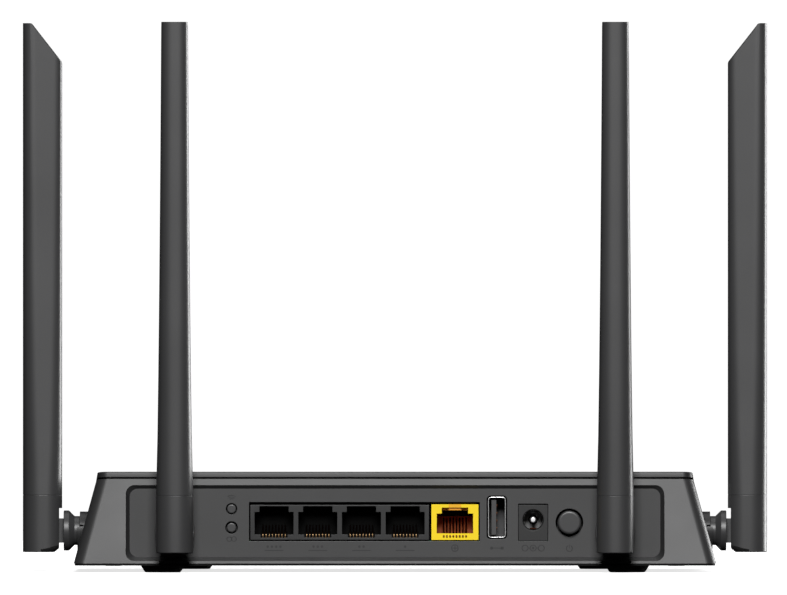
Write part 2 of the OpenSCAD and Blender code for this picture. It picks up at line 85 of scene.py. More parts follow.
EDGE_Z = low("upper_housing").z
FOOT_H = high("feet").z
BODY_HALF = high("upper_housing").x
REAR_Y = low("upper_housing").y
FRONT_Y = high("upper_housing").y
PANEL_Y = low("rear_panel").y + 1
PANEL_T = 1.6
AXIS_Z = middle("swivel_side_left").z
FOLD_X = middle("hinge_pin_side_right").x
FOLD_Y = middle("swivel_side_right").y
REAR_FOLD = middle("hinge_pin_rear_right")

# the joint of an antenna: its fold axis from the boss's face, and the radii round its shaft
FOLD_OUT = 12.5
BOSS_R = 6.1
BORE_R = 4.1
TURN_R = 8.4
PIN_R = 1.25
EYE_R = 3.9
SIDE_FACE = FOLD_X - FOLD_OUT
SIDE_AXIS = (0, FOLD_Y, AXIS_Z)
OUTWARD = {-1: "-x", 1: "+x"}

CONTACTS = 8
WINDOWS = 8
WINDOW_PITCH = 11
WINDOW_IN = 14


def angle(name, degrees, text):
    """An angle property."""
    return FloatProperty(name=name, description=text, default=radians(degrees), subtype="ANGLE")


def length(name, millimetres, text):
    """A length property, its default given in millimetres."""
    return FloatProperty(
        name=name, description=text, default=millimetres * MM, unit="LENGTH", precision=5
    )


def colour(name, value, text):
    """A colour property."""
    return FloatVectorProperty(
        name=name, description=text, default=value, subtype="COLOR", size=3, min=0, max=1
    )


def amount(name, value, text):
    """A plain number property."""
    return FloatProperty(name=name, description=text, default=value, min=0)


# ---------- what a user would change ----------


class RouterBodySizes(bpy.types.PropertyGroup):
    """Sizes of the housing, its cover and its panel."""

    side_lean: angle("Side lean", 15.2, "Lean of the side walls")
    rear_lean: angle("Rear lean", 10, "Lean of the rear wall")
    front_lean: angle("Front lean", 18, "Lean of the front wall")
    top_slope: angle("Top slope", 5, "Fall of the top towards the front")
    wall: length("Wall", 2, "Thickness of the housing's walls")
    cover: length("Cover", 1.8, "Thickness of the top cover")
    groove: length("Groove", 0.6, "Height of the shadow groove below the cover")
    rear_corner: length("Rear corner", 3.5, "Radius of the body's rear corners")
    front_corner: length("Front corner", 10, "Radius of the body's front corners")
    edge_round: length("Edge rounding", 0.35, "Rounding on the housing's edges")
    recess_half: length("Recess half width", 86.2, "Half width of the recess round the panel")
    recess_low: length("Recess low", 0.75, "Height of the recess above the housing's lower edge")
    recess_high: length("Recess high", 1.8, "Distance of the recess below the deck's rear edge")
    recess_step: length("Recess draft", 1.3, "Width of the recess's sloping step")


class RouterAntennaSizes(bpy.types.PropertyGroup):
    """Sizes of the antennas."""

    depth: length("Depth", 12.6, "Width of an antenna seen from the side it folds to")
    base_width: length("Base width", 11.9, "Thickness of an antenna at its seam")
    tip_width: length("Tip width", 9.37, "Thickness of an antenna at its tip")
    base_full: amount("Base fullness", 0.54, "Corner fullness at the base: 0.5 round, 1 square")
    outer_full: amount("Outer fullness", 0.62, "Fullness of the outer corners at the tip")
    inner_full: amount("Inner fullness", 0.7, "Fullness of the inner corners at the tip")
    blade_thin: amount("Blade thinning", 0.7, "Inner end's thickness at the tip, of the outer's")
    tip_flat: length("Tip flat", 2.8, "Width of the flat end of the tip")
    tip_drop: length("Tip drop", 12.5, "Height of the slanting cut")
    skin: length("Skin", 1.4, "Thickness of the sleeve's wall")
    seam: length("Seam", 0.16, "Rounding on each side of the seam above the base")


class RouterSocketSizes(bpy.types.PropertyGroup):
    """Sizes of the sockets, the inlet and the buttons."""

    lan_opening: length("LAN opening", 12.4, "Width of a LAN socket's opening")
    lan_notch: length("LAN notch", 9.3, "Width of a LAN socket's latch notch")
    lan_pitch: length("LAN pitch", 13.98, "Distance from one LAN socket to the next")
    wan_opening: length("WAN opening", 11.65, "Width of the WAN socket's opening")
    wan_notch: length("WAN notch", 8.45, "Width of the WAN socket's latch notch")
    contact_pitch: length("Contact pitch", 1.02, "Distance between a network socket's contacts")
    plug_depth: length("Plug depth", 12.2, "Depth of a network socket's opening")
    shell: length("USB shell", 0.3, "Thickness of the USB socket's steel shell")
    inlet_hole: length("Inlet hole", 3.17, "Radius of the power inlet's round hole")
    panel_gap: length("Panel gap", 0.38, "Gap round a socket in the panel")


class RouterFinishes(bpy.types.PropertyGroup):
    """Colours and gloss of the finishes."""

    housing: colour("Housing", (0.03, 0.03, 0.0305), "Colour of the housing")
    cover: colour("Cover", (0.022, 0.022, 0.0225), "Colour of the top cover")
    panel: colour("Panel", (0.046, 0.046, 0.0465), "Colour of the socket panel")
    antenna: colour("Antenna", (0.042, 0.042, 0.043), "Colour of the antennas")
    tray: colour("Tray", (0.006, 0.006, 0.006), "Colour of the bottom tray")
    socket: colour("Socket", (0.02, 0.02, 0.0203), "Colour of the black sockets")
    button: colour("Button", (0.046, 0.046, 0.047), "Colour of the buttons")
    wan_face: colour("WAN face", (1.0, 0.72, 0.0), "Colour of the WAN socket's face")
    # painted shade: this colour stands for the shade deep inside the WAN socket
    wan_painted_shade: colour("WAN inside", (0.42, 0.085, 0.006), "Colour deep inside the WAN socket")
    ink: colour("Marks", (0.02, 0.02, 0.0205), "Colour of the panel's marks")
    plastic_rough: amount("Plastic roughness", 0.42, "Roughness of the moulded plastic")


class RouterStudio(bpy.types.PropertyGroup):
    """The camera and the lights."""

    lens: amount("Lens", 1250, "Focal length, in millimetres")
    distance: FloatProperty(
        name="Distance", description="Camera to the socket panel", default=8.744, unit="LENGTH"
    )
    height: length("Camera height", 87.97, "Height of the camera above the floor")
    aside: length("Camera aside", -0.48, "Sideways place of the camera")
    key: amount("Key light", 52, "Power of the large light in front, in watts")
    top: amount("Top light", 6, "Power of the light overhead, in watts")
    rim: amount("Rim light", 38, "Power of the strip behind on the right, in watts")
    fill: amount("Fill", 0.015, "Brightness of the surroundings")


# ---------- ways of working on a mesh ----------


def only(obj):
    """Makes obj the one selected and active object."""
    bpy.ops.object.select_all(action="DESELECT")
    obj.select_set(True)
    bpy.context.view_layer.objects.active = obj


def face_out():
    """In edit mode, points every face outwards."""
    bpy.ops.mesh.select_all(action="SELECT")
    bpy.ops.mesh.normals_make_consistent(inside=False)


@contextmanager
def editing(obj):
    """Edit mode on one object, with nothing selected."""
    only(obj)
    bpy.ops.object.mode_set(mode="EDIT")
    bpy.ops.mesh.select_all(action="DESELECT")
    yield
    bpy.ops.object.mode_set(mode="OBJECT")


def pick(obj, kind, test):
    """In edit mode, selects only the verts, edges or faces that pass the test."""
    modes = {"verts": "VERT", "edges": "EDGE", "faces": "FACE"}
    bpy.ops.mesh.select_mode(type=modes[kind])
    bpy.ops.mesh.select_all(action="DESELECT")
    mesh = bmesh.from_edit_mesh(obj.data)
    mesh.normal_update()
    for item in [i for i in getattr(mesh, kind) if test(i)]:
        item.select_set(True)
    bmesh.update_edit_mesh(obj.data)


def edge_run(edge):
    """The direction of an edge, as a vector of positive parts."""
    run = (edge.verts[1].co - edge.verts[0].co).normalized()
    return Vector((abs(run.x), abs(run.y), abs(run.z)))


def edge_mid(edge):
    """The middle of an edge, in millimetres."""
    return (edge.verts[0].co + edge.verts[1].co) / 2 / MM


def settle(obj):
    """Puts the object's place, turn and scale into its mesh."""
    only(obj)
    bpy.ops.object.transform_apply(location=True, rotation=True, scale=True)
    return obj


def added(name):
    """The object that an add operator has just made, named and settled."""
    obj = bpy.context.active_object
    obj.name = obj.data.name = name
    return settle(obj)


def block(name, corner, opposite):
    """A box between two corners, in millimetres."""
    a, b = Vector(corner) * MM, Vector(opposite) * MM
    bpy.ops.object.select_all(action="DESELECT")
    bpy.ops.mesh.primitive_cube_add(size=1, location=(a + b) / 2, scale=b - a)
    return added(name)


def round_edges(obj, radius, test, segments=6):
    """Rounds the edges that pass the test, by a radius in millimetres."""
    with editing(obj):
        pick(obj, "edges", test)
        bpy.ops.mesh.bevel(offset=radius * MM, segments=segments, profile=0.5, clamp_overlap=True)
    return obj


def rounded_block(name, corner, opposite, axis, radius, segments=6):
    """A box whose four edges along one axis are rounded."""
    obj = block(name, corner, opposite)
    return round_edges(obj, radius, lambda e: edge_run(e)["xyz".index(axis)] > 0.99, segments)


def turned(name, profile, sides=64):
    """A solid turned about Z from (height, radius) pairs, closed at both ends."""
    height, radius = profile[0]
    bpy.ops.object.select_all(action="DESELECT")
    bpy.ops.mesh.primitive_circle_add(
        vertices=sides, radius=radius * MM, fill_type="NGON", location=(0, 0, height * MM)
    )
    obj = added(name)
    with editing(obj):
        bpy.ops.mesh.select_mode(type="FACE")
        bpy.ops.mesh.select_all(action="SELECT")
        for (z0, r0), (z1, r1) in zip(profile, profile[1:]):
            bpy.ops.mesh.extrude_region_move(
                TRANSFORM_OT_translate={"value": (0, 0, (z1 - z0) * MM), "orient_type": "GLOBAL"}
            )
            bpy.ops.transform.resize(value=(r1 / r0, r1 / r0, 1), center_override=(0, 0, z1 * MM))
        face_out()
    return obj


def turn_to(obj, axis, at):
    """Turns a piece made about Z to stand along another axis, and moves it to a point."""
    turns = {
        "+x": (0, pi / 2, 0),
        "-x": (0, -pi / 2, 0),
        "+y": (-pi / 2, 0, 0),
        "+z": (0, 0, 0),
    }
    obj.rotation_euler = turns[axis]
    obj.location = Vector(at) * MM
    return settle(obj)


def rod(name, axis, radius, at, span, sides=64):
    """A cylinder along an axis: from span[0] to span[1] along it, through the point at."""
    obj = turned(name, [(span[0], radius), (span[1], radius)], sides)
    return turn_to(obj, axis, at)


def joined(pieces, name):
    """Several meshes as one object."""
    bpy.ops.object.select_all(action="DESELECT")
    for piece in pieces:
        piece.select_set(True)
    bpy.context.view_layer.objects.active = pieces[0]
    if len(pieces) > 1:
        bpy.ops.object.join()
    pieces[0].name = pieces[0].data.name = name
    return pieces[0]


def combine(obj, tool, operation):
    """Applies a boolean with a tool mesh, which is used up."""
    modifier = obj.modifiers.new("combine", "BOOLEAN")
    modifier.object = tool
    modifier.operation = operation
    modifier.solver = "EXACT"
    only(obj)
    bpy.ops.object.modifier_apply(modifier=modifier.name)
    bpy.data.objects.remove(tool)
    with editing(obj):
        bpy.ops.mesh.select_all(action="SELECT")
        bpy.ops.mesh.remove_doubles(threshold=MERGE)
    return obj


def cut(obj, *tools):
    """Takes tool meshes away from obj."""
    return combine(obj, joined(list(tools), "tool"), "DIFFERENCE")


def add(obj, *tools):
    """Melts tool meshes into obj."""
    for tool in tools:
        combine(obj, tool, "UNION")
    return obj


def keep_inside(obj, tool):
    """Keeps what obj shares with a tool mesh."""
    return combine(obj, tool, "INTERSECT")


def clean(obj, flat=True):
    """Merges doubles, joins flat faces where asked and points the faces outwards."""
    with editing(obj):
        bpy.ops.mesh.select_all(action="SELECT")
        bpy.ops.mesh.remove_doubles(threshold=MERGE)
        if flat:
            bpy.ops.mesh.dissolve_limited(angle_limit=radians(0.5))
        bpy.ops.mesh.normals_make_consistent(inside=False)
    return obj


def soften(obj, width, segments=3, limit=32, flat=True):
    """Rounds every sharp edge a little and shades the piece smooth between real edges."""
    clean(obj, flat)
    if width:
        modifier = obj.modifiers.new("soften", "BEVEL")
        modifier.width = width * MM
        modifier.segments = segments
        modifier.limit_method = "ANGLE"
        modifier.angle_limit = radians(limit)
        modifier.miter_outer = "MITER_ARC"
        modifier.use_clamp_overlap = True
        only(obj)
        bpy.ops.object.modifier_apply(modifier=modifier.name)
    return shade(obj)


def shade(obj):
    """Smooth shading with flat faces kept flat."""
    only(obj)
    bpy.ops.object.shade_smooth_by_angle(angle=radians(40))
    weights = obj.modifiers.new("weights", "WEIGHTED_NORMAL")
    weights.keep_sharp = True
    weights.weight = 80
    bpy.ops.object.modifier_apply(modifier=weights.name)
    return obj


def copied(obj, name):
    """A copy of a piece with its own mesh."""
    only(obj)
    bpy.ops.object.duplicate()
    twin = bpy.context.active_object
    twin.name = twin.data.name = name
    return twin


def slice_off(obj, point, normal):
    """Cuts away what lies beyond a plane and closes the cut."""
    with editing(obj):
        bpy.ops.mesh.select_all(action="SELECT")
        bpy.ops.mesh.bisect(
            plane_co=Vector(point) * MM, plane_no=normal, use_fill=True, clear_outer=True
        )
    return obj


def wire(name, points, radius):
    """A round wire through points in millimetres, made a mesh."""
    bpy.ops.object.select_all(action="DESELECT")
    bpy.ops.curve.primitive_nurbs_path_add(radius=1, location=(0, 0, 0))
    curve = bpy.context.active_object
    curve.data.splines.clear()
    spline = curve.data.splines.new("POLY")
    spline.points.add(len(points) - 1)
    for target, point in zip(spline.points, points):
        target.co = (*(Vector(point) * MM), 1)
    curve.data.bevel_depth = radius * MM
    curve.data.bevel_resolution = 1
    curve.data.use_fill_caps = True
    bpy.ops.object.convert(target="MESH")
    return clean(added(name))


def coat(obj, name):
    """Gives a piece one of the finishes by its slot name."""
    obj.data.materials.clear()
    obj.data.materials.append(bpy.data.materials[name])


def hand_in(obj, finish, *nodes, body="router_body", slot=None):
    """Coats a finished piece, sets what it rides on and hides the CAD nodes that it stands for."""
    coat(obj, finish)
    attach(obj, body)
    if nodes:
        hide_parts(*nodes)
    return obj


def dressed(node, width, finish, body="router_body", segments=2, slot=None):
    """A finished copy of a CAD node: merged, its edges rounded, in its own finish."""
    obj = copied(frame["nodes"][node], node + "_piece")
    soften(obj, width, segments)
    return hand_in(obj, finish, node, body=body, slot=slot)


# ---------- finishes ----------


class Graph:
    """Short names for building a node tree."""

    def __init__(self, tree):
        self.tree = tree

    def node(self, kind, **values):
        """A node, with inputs set by name and settings by attribute."""
        made = self.tree.nodes.new(kind)
        for key, value in values.items():
            if key in made.inputs:
                made.inputs[key].default_value = value
            else:
                setattr(made, key, value)
        return made

    def link(self, source, target):
        """Joins an output to an input."""
        self.tree.links.new(source, target)


def new_group(name, inputs, outputs):
    """An empty shader group with named sockets."""
    tree = bpy.data.node_groups.new(name, "ShaderNodeTree")
    for label, kind, value in inputs:
        socket = tree.interface.new_socket(label, in_out="INPUT", socket_type=kind)
        socket.default_value = value
    for label, kind in outputs:
        tree.interface.new_socket(label, in_out="OUTPUT", socket_type=kind)
    graph = Graph(tree)
    return tree, graph, graph.node("NodeGroupInput"), graph.node("NodeGroupOutput")


def grain_group():
    """Spark-eroded mould grain: a fine height and a soft tone that wanders over the part."""
    tree, graph, inside, outside = new_group(
        "Mould grain",
        [("Grains per metre", "NodeSocketFloat", 3200.0), ("Tone scale", "NodeSocketFloat", 45.0)],
        [("Height", "NodeSocketFloat"), ("Tone", "NodeSocketFloat")],
    )
    place = graph.node("ShaderNodeTexCoord")
    fine = graph.node("ShaderNodeTexNoise", Detail=2.0, Roughness=0.6)
    pits = graph.node("ShaderNodeTexVoronoi", feature="SMOOTH_F1", Smoothness=0.6)
    soft = graph.node("ShaderNodeTexNoise", Detail=3.0, Roughness=0.5)
    mix = graph.node("ShaderNodeMath", operation="MULTIPLY_ADD")
    for texture in (fine, pits):
        graph.link(place.outputs["Object"], texture.inputs["Vector"])
        graph.link(inside.outputs["Grains per metre"], texture.inputs["Scale"])
    graph.link(place.outputs["Object"], soft.inputs["Vector"])
    graph.link(inside.outputs["Tone scale"], soft.inputs["Scale"])
    graph.link(pits.outputs["Distance"], mix.inputs[0])
    mix.inputs[1].default_value = 0.5
    graph.link(fine.outputs["Fac"], mix.inputs[2])
    graph.link(mix.outputs[0], outside.inputs["Height"])
    graph.link(soft.outputs["Fac"], outside.inputs["Tone"])
    return tree


def brushed_group():
    """Fine drawn lines on metal, along X, with a wandering tone."""
    tree, graph, inside, outside = new_group(
        "Drawn metal",
        [("Lines per metre", "NodeSocketFloat", 6000.0)],
        [("Height", "NodeSocketFloat"), ("Tone", "NodeSocketFloat")],
    )
    place = graph.node("ShaderNodeTexCoord")
    stretch = graph.node("ShaderNodeMapping")
    stretch.inputs["Scale"].default_value = (0.04, 1, 1)
    lines = graph.node("ShaderNodeTexNoise", Detail=3.0, Roughness=0.65)
    tone = graph.node("ShaderNodeTexNoise", Scale=160.0, Detail=2.0)
    graph.link(place.outputs["Object"], stretch.inputs["Vector"])
    graph.link(stretch.outputs["Vector"], lines.inputs["Vector"])
    graph.link(inside.outputs["Lines per metre"], lines.inputs["Scale"])
    graph.link(place.outputs["Object"], tone.inputs["Vector"])
    graph.link(lines.outputs["Fac"], outside.inputs["Height"])
    graph.link(tone.outputs["Fac"], outside.inputs["Tone"])
    return tree


def surface(name):
    """A new material's graph and Principled BSDF, in place of the frame's plain one."""
    plain = bpy.data.materials.get(name)
    if plain:
        bpy.data.materials.remove(plain)
    material = bpy.data.materials.new(name)
    material.use_nodes = True
    return Graph(material.node_tree), material.node_tree.nodes["Principled BSDF"]


def spread(graph, source, low_value, high_value, target):
    """Runs a 0 to 1 tone between two values into an input."""
    ramp = graph.node("ShaderNodeMapRange")
    ramp.inputs["From Min"].default_value = 0.3
    ramp.inputs["From Max"].default_value = 0.7
    ramp.inputs["To Min"].default_value = low_value
    ramp.inputs["To Max"].default_value = high_value
    graph.link(source, ramp.inputs["Value"])
    graph.link(ramp.outputs["Result"], target)


def blend_colours(graph, source, first, second, target):
    """Runs a tone between two colours into an input."""
    mix = graph.node("ShaderNodeMix", data_type="RGBA")
    mix.inputs[6].default_value = (*first, 1)
    mix.inputs[7].default_value = (*second, 1)
    graph.link(source, mix.inputs["Factor"])
    graph.link(mix.outputs[2], target)


def relief(graph, height, depth, shader, strength=1.0):
    """A bump of that depth, in millimetres, into a shader's normal."""
    bump = graph.node("ShaderNodeBump", Strength=strength, Distance=depth * MM)
    graph.link(height, bump.inputs["Height"])
    graph.link(bump.outputs["Normal"], shader.inputs["Normal"])


def moulded(name, tint, rough, depth=0.012, grains=3200.0, variety=0.05, specular=0.5):
    """Moulded plastic or rubber with mould grain."""
    graph, shader = surface(name)
    grain = graph.node("ShaderNodeGroup", node_tree=bpy.data.node_groups["Mould grain"])
    grain.inputs["Grains per metre"].default_value = grains
    darker = [c * (1 - variety) for c in tint]
    lighter = [min(1, c * (1 + variety)) for c in tint]
    blend_colours(graph, grain.outputs["Tone"], darker, lighter, shader.inputs["Base Color"])
    spread(graph, grain.outputs["Tone"], rough - 0.015, rough + 0.02, shader.inputs["Roughness"])
    relief(graph, grain.outputs["Height"], depth, shader)
    shader.inputs["Specular IOR Level"].default_value = specular
    return graph, shader


def metal(name, tint, rough, lines=6000.0, depth=0.004):
    """Drawn or plated metal."""
    graph, shader = surface(name)
    drawn = graph.node("ShaderNodeGroup", node_tree=bpy.data.node_groups["Drawn metal"])
    drawn.inputs["Lines per metre"].default_value = lines
    shader.inputs["Metallic"].default_value = 1
    dull = [c * 0.82 for c in tint]
    blend_colours(graph, drawn.outputs["Tone"], dull, tint, shader.inputs["Base Color"])
    spread(graph, drawn.outputs["Tone"], rough - 0.06, rough + 0.08, shader.inputs["Roughness"])
    relief(graph, drawn.outputs["Height"], depth, shader)


def by_depth(graph, stops, target):
    """Runs colours into an input by depth behind the socket panel, as (millimetres, colour)."""
    # the colour ramps run by depth paint the shade inside the sockets
    deepest = stops[-1][0]
    place = graph.node("ShaderNodeTexCoord")
    split = graph.node("ShaderNodeSeparateXYZ")
    deep = graph.node("ShaderNodeMapRange")
    deep.inputs["From Min"].default_value = PANEL_Y * MM
    deep.inputs["From Max"].default_value = (PANEL_Y + deepest) * MM
    ramp = graph.node("ShaderNodeValToRGB")
    while len(ramp.color_ramp.elements) < len(stops):
        ramp.color_ramp.elements.new(0.5)
    for element, (depth, tint) in zip(ramp.color_ramp.elements, stops):
        element.position = depth / deepest
        element.color = (*tint, 1)
    graph.link(place.outputs["Object"], split.inputs["Vector"])
    graph.link(split.outputs["Y"], deep.inputs["Value"])
    graph.link(deep.outputs["Result"], ramp.inputs["Fac"])
    graph.link(ramp.outputs["Color"], target)


def yellow_plastic(finishes):
    """Yellow socket plastic, its colour darkened to amber and brown deeper inside by painted
    shade.
    """
    graph, shader = moulded("yellow_plastic", finishes.wan_face, 0.36, 0.004)
    face, deep = tuple(finishes.wan_face), tuple(finishes.wan_painted_shade)
    # the stops paint the shade of the socket's hollow: amber, then brown, near black at the back
    stops = [
        (0.1, face),
        (1.2, (0.85, 0.36, 0.01)),
        (3.2, (0.7, 0.22, 0.008)),
        (10, deep),
        (12.4, deep),
        (13, (0.002, 0.001, 0.001)),
    ]
    by_depth(graph, stops, shader.inputs["Base Color"])


def black_socket(finishes):
    """Dark socket plastic, with painted shade that turns it black deeper inside."""
    graph, shader = moulded("socket_plastic", finishes.socket, 0.45, 0.005, specular=0.4)
    face = tuple(finishes.socket)
    # painted shade: the colour darkens to black within a few millimetres behind the panel, in the
    # LAN openings and the inlet's bore
    stops = [(0.2, face), (0.9, [c * 0.5 for c in face]), (2.4, (0.0004, 0.0004, 0.0004))]
    by_depth(graph, stops, shader.inputs["Base Color"])
    by_depth(graph, [(0.3, (0.42,) * 3), (2.0, (0.95,) * 3)], shader.inputs["Roughness"])


def socket_metal(name, stops, rough):
    """Plated metal whose colour darkens with depth inside a socket, as painted shade."""
    graph, shader = surface(name)
    shader.inputs["Metallic"].default_value = 1
    shader.inputs["Roughness"].default_value = rough
    drawn = graph.node("ShaderNodeGroup", node_tree=bpy.data.node_groups["Drawn metal"])
    by_depth(graph, stops, shader.inputs["Base Color"])
    relief(graph, drawn.outputs["Height"], 0.002, shader)


def circuit_board():
    """Green solder mask over a net of copper tracks."""
    graph, shader = surface("circuit_board")
    place = graph.node("ShaderNodeTexCoord")
    tracks = graph.node(
        "ShaderNodeTexBrick", Scale=180.0, squash=1.7, squash_frequency=3, offset=0.37
    )
    tracks.inputs["Color1"].default_value = (0.01, 0.11, 0.045, 1)
    tracks.inputs["Color2"].default_value = (0.015, 0.14, 0.06, 1)
    tracks.inputs["Mortar"].default_value = (0.03, 0.23, 0.1, 1)
    tracks.inputs["Mortar Size"].default_value = 0.05
    graph.link(place.outputs["Object"], tracks.inputs["Vector"])
    graph.link(tracks.outputs["Color"], shader.inputs["Base Color"])
    shader.inputs["Roughness"].default_value = 0.3
    relief(graph, tracks.outputs["Fac"], 0.03, shader)


def clear_plastic():
    """Clear light-guide plastic with a frosted face."""
    shader = moulded("clear_plastic", (0.78, 0.84, 0.88), 0.25, 0.003)[1]
    shader.inputs["Transmission Weight"].default_value = 0.55
    shader.inputs["IOR"].default_value = 1.49


class RouterMakeFinishes(bpy.types.Operator):
    """Makes every material"""

    bl_idname = "router.finishes"
    bl_label = "Finishes"

    def execute(self, context):
        finishes = context.scene.router_finishes
        rough = finishes.plastic_rough
        grain_group()
        brushed_group()
        moulded("housing_plastic", finishes.housing, rough, specular=0.36)
        moulded("cover_plastic", finishes.cover, rough)
        moulded("panel_plastic", finishes.panel, rough, specular=0.45)
        moulded("antenna_plastic", finishes.antenna, rough - 0.03, 0.008)
        moulded("tray_plastic", finishes.tray, 0.7, specular=0.12)
        moulded("button_plastic", finishes.button, rough - 0.05, 0.006)
        moulded("mark_ink", finishes.ink, 0.6, 0.004)
        moulded("foot_rubber", (0.008, 0.008, 0.008), 0.75, 0.02, 2200.0)
        moulded("chip_plastic", (0.02, 0.02, 0.021), 0.5)
        moulded("thermal_silicone", (0.25, 0.3, 0.42), 0.8, 0.02, 1500.0)
        moulded("cable_jacket", (0.03, 0.03, 0.03), 0.45, 0.004)
        moulded("label_paper", (0.42, 0.43, 0.44), 0.6, 0.003, 5000.0, 0.03)
        moulded("led_plastic", (0.8, 0.82, 0.7), 0.3, 0.003)
        metal("screw_steel", (0.6, 0.6, 0.61), 0.35)
        metal("nickel_steel", (0.74, 0.74, 0.73), 0.22, 9000.0, 0.002)
        metal("tinned_steel", (0.68, 0.68, 0.67), 0.32)
        metal("heat_sink_aluminium", (0.75, 0.76, 0.77), 0.4)
        metal("capacitor_can", (0.4, 0.41, 0.43), 0.4)
        gold, gold_painted_shade = (0.62, 0.4, 0.2), (0.035, 0.009, 0.004)
        # gold contacts: gold at the lip, painted shade turning them brown deeper in
        socket_metal("gold_contact", [(0.5, gold), (1.0, (0.3, 0.12, 0.05)), (1.8, gold_painted_shade)], 0.38)
        silver = (0.6, 0.6, 0.6)
        # USB shell: nickel colour painted near black a millimetre behind the panel, painted shade
        # inside the shell
        socket_metal("usb_nickel", [(0.05, silver), (0.5, (0.02,) * 3), (1, (0.004,) * 3)], 0.34)
        metal("pin_nickel", (0.92, 0.92, 0.92), 0.4)
        # light grey so that the seat at the back of the inlet's shaded bore reads as lit: painted
        # light
        moulded("inlet_plastic", (0.3, 0.3, 0.3), 0.6, 0.004)
        moulded("tongue_plastic", (0.05, 0.05, 0.051), 0.4, 0.004)
        black_socket(finishes)
        metal("radiator_copper", (0.72, 0.4, 0.22), 0.35)
        yellow_plastic(finishes)
        circuit_board()
        clear_plastic()
        slots = {s["node"]: s["material_slot"] for s in frame["record"]["subparts"]}
        for node, obj in frame["nodes"].items():
            coat(obj, slots[node])
        return {"FINISHED"}


# ---------- housing ----------


class BodyFaces:
    """Where the body's leaning faces stand, in millimetres."""

    def __init__(self, sizes):
        self.sizes = sizes
        self.slope = sizes.top_slope
        cover = (sizes.cover + sizes.groove) / MM
        self.deck_z = high("top_cover").z - cover * cos(self.slope) + 0.25 * sin(self.slope)
        self.deck_y = self.rear(self.deck_z)

    def side(self, z):
        """Half width at a height."""
        return BODY_HALF - tan(self.sizes.side_lean) * (z - EDGE_Z)

    def rear(self, z):
        """Rear face at a height."""
        return REAR_Y + tan(self.sizes.rear_lean) * (z - EDGE_Z)

    def front(self, z):
        """Front face at a height."""
        return FRONT_Y - tan(self.sizes.front_lean) * (z - EDGE_Z)

    def deck_end(self):
        """Front end of the deck, as (y, z)."""
        fall, lean = tan(self.slope), tan(self.sizes.front_lean)
        y = (self.front(self.deck_z) - lean * fall * self.deck_y) / (1 - lean * fall)
        return y, self.deck_z - fall * (y - self.deck_y)

    def deck_length(self):
        """Length of the deck along its slope."""
        return (self.deck_end()[0] - self.deck_y) / cos(self.slope)

    def slope_normal(self):
        """The direction that the deck faces."""
        return (0, sin(self.slope), cos(self.slope))

    def on_deck(self, obj):
        """Lays a piece made on a level deck, its rear edge at y 0, down on the sloping one."""
        obj.rotation_euler = (-self.slope, 0, 0)
        obj.location = Vector((0, self.deck_y, self.deck_z)) * MM
        return settle(obj)


def leaning_block(faces, name, inset, z0, z1):
    """The body's block between two heights, its walls moved in, its upright edges rounded."""
    sizes = faces.sizes
    bottom, top = (
        (faces.side(z) - inset, faces.rear(z) + inset, faces.front(z) - inset) for z in (z0, z1)
    )
    obj = block(name, (-bottom[0], bottom[1], z0), (bottom[0], bottom[2], z1))
    shift = (top[1] + top[2] - bottom[1] - bottom[2]) / 2
    shrink = (top[0] / bottom[0], (top[2] - top[1]) / (bottom[2] - bottom[1]), 1)
    centre = (0, (bottom[1] + bottom[2]) / 2 * MM, z1 * MM)
    with editing(obj):
        pick(obj, "faces", lambda f: f.normal.z > 0.9)
        bpy.ops.transform.resize(value=shrink, center_override=centre)
        bpy.ops.transform.translate(value=(0, shift * MM, 0), orient_type="GLOBAL")
    upright = lambda e: edge_run(e).z > 0.5
    rear, front = sizes.rear_corner / MM - inset, sizes.front_corner / MM - inset
    round_edges(obj, rear, lambda e: upright(e) and edge_mid(e).y < 0, 12)
    return round_edges(obj, front, lambda e: upright(e) and edge_mid(e).y > 30, 12)


def lean_back(obj, centre, lean):
    """Tilts the selected face about a level line through centre, its upper edge going to +Y."""
    turn = Matrix.Rotation(-lean, 3, "X")
    mesh = bmesh.from_edit_mesh(obj.data)
    for vert in [v for v in mesh.verts if v.select]:
        vert.co = Vector(centre) + turn @ (vert.co - Vector(centre))
    bmesh.update_edit_mesh(obj.data)


def recess_tool(faces, extra):
    """The drafted hollow that leads back to the socket panel, grown on every side."""
    sizes = faces.sizes
    half, step = sizes.recess_half / MM, sizes.recess_step / MM
    z0 = EDGE_Z + sizes.recess_low / MM
    z1 = faces.deck_z - sizes.recess_high / MM
    wide = half - step + extra
    tall = (z1 - z0) / 2 - step + extra
    middle_z = (z0 + z1) / 2
    front = faces.rear(middle_z) - 0.2
    ends = (-wide, front, middle_z - tall), (wide, PANEL_Y, middle_z + tall)
    obj = rounded_block("tool", *ends, "y", 2.6 + extra, 8)
    centre = (0, front * MM, middle_z * MM)
    grow = ((half + 0.05 + extra) / wide, 1, ((z1 - z0) / 2 + extra) / tall / cos(sizes.rear_lean))
    with editing(obj):
        pick(obj, "faces", lambda f: f.normal.y < -0.9)
        bpy.ops.transform.resize(value=grow, center_override=centre)
        lean_back(obj, centre, sizes.rear_lean)
    return obj


def side_boss(sign):
    """The boss round a side antenna's shaft, its lower half standing out further."""
    span = SIDE_FACE - 4, SIDE_FACE + 0.8
    boss = rod("boss", OUTWARD[sign], BOSS_R, SIDE_AXIS, span)
    x0, x1 = sorted((sign * SIDE_FACE, sign * (SIDE_FACE + 2)))
    return cut(boss, block("tool", (x0, FOLD_Y - 8, AXIS_Z + 1.3), (x1, FOLD_Y + 8, AXIS_Z + 8)))


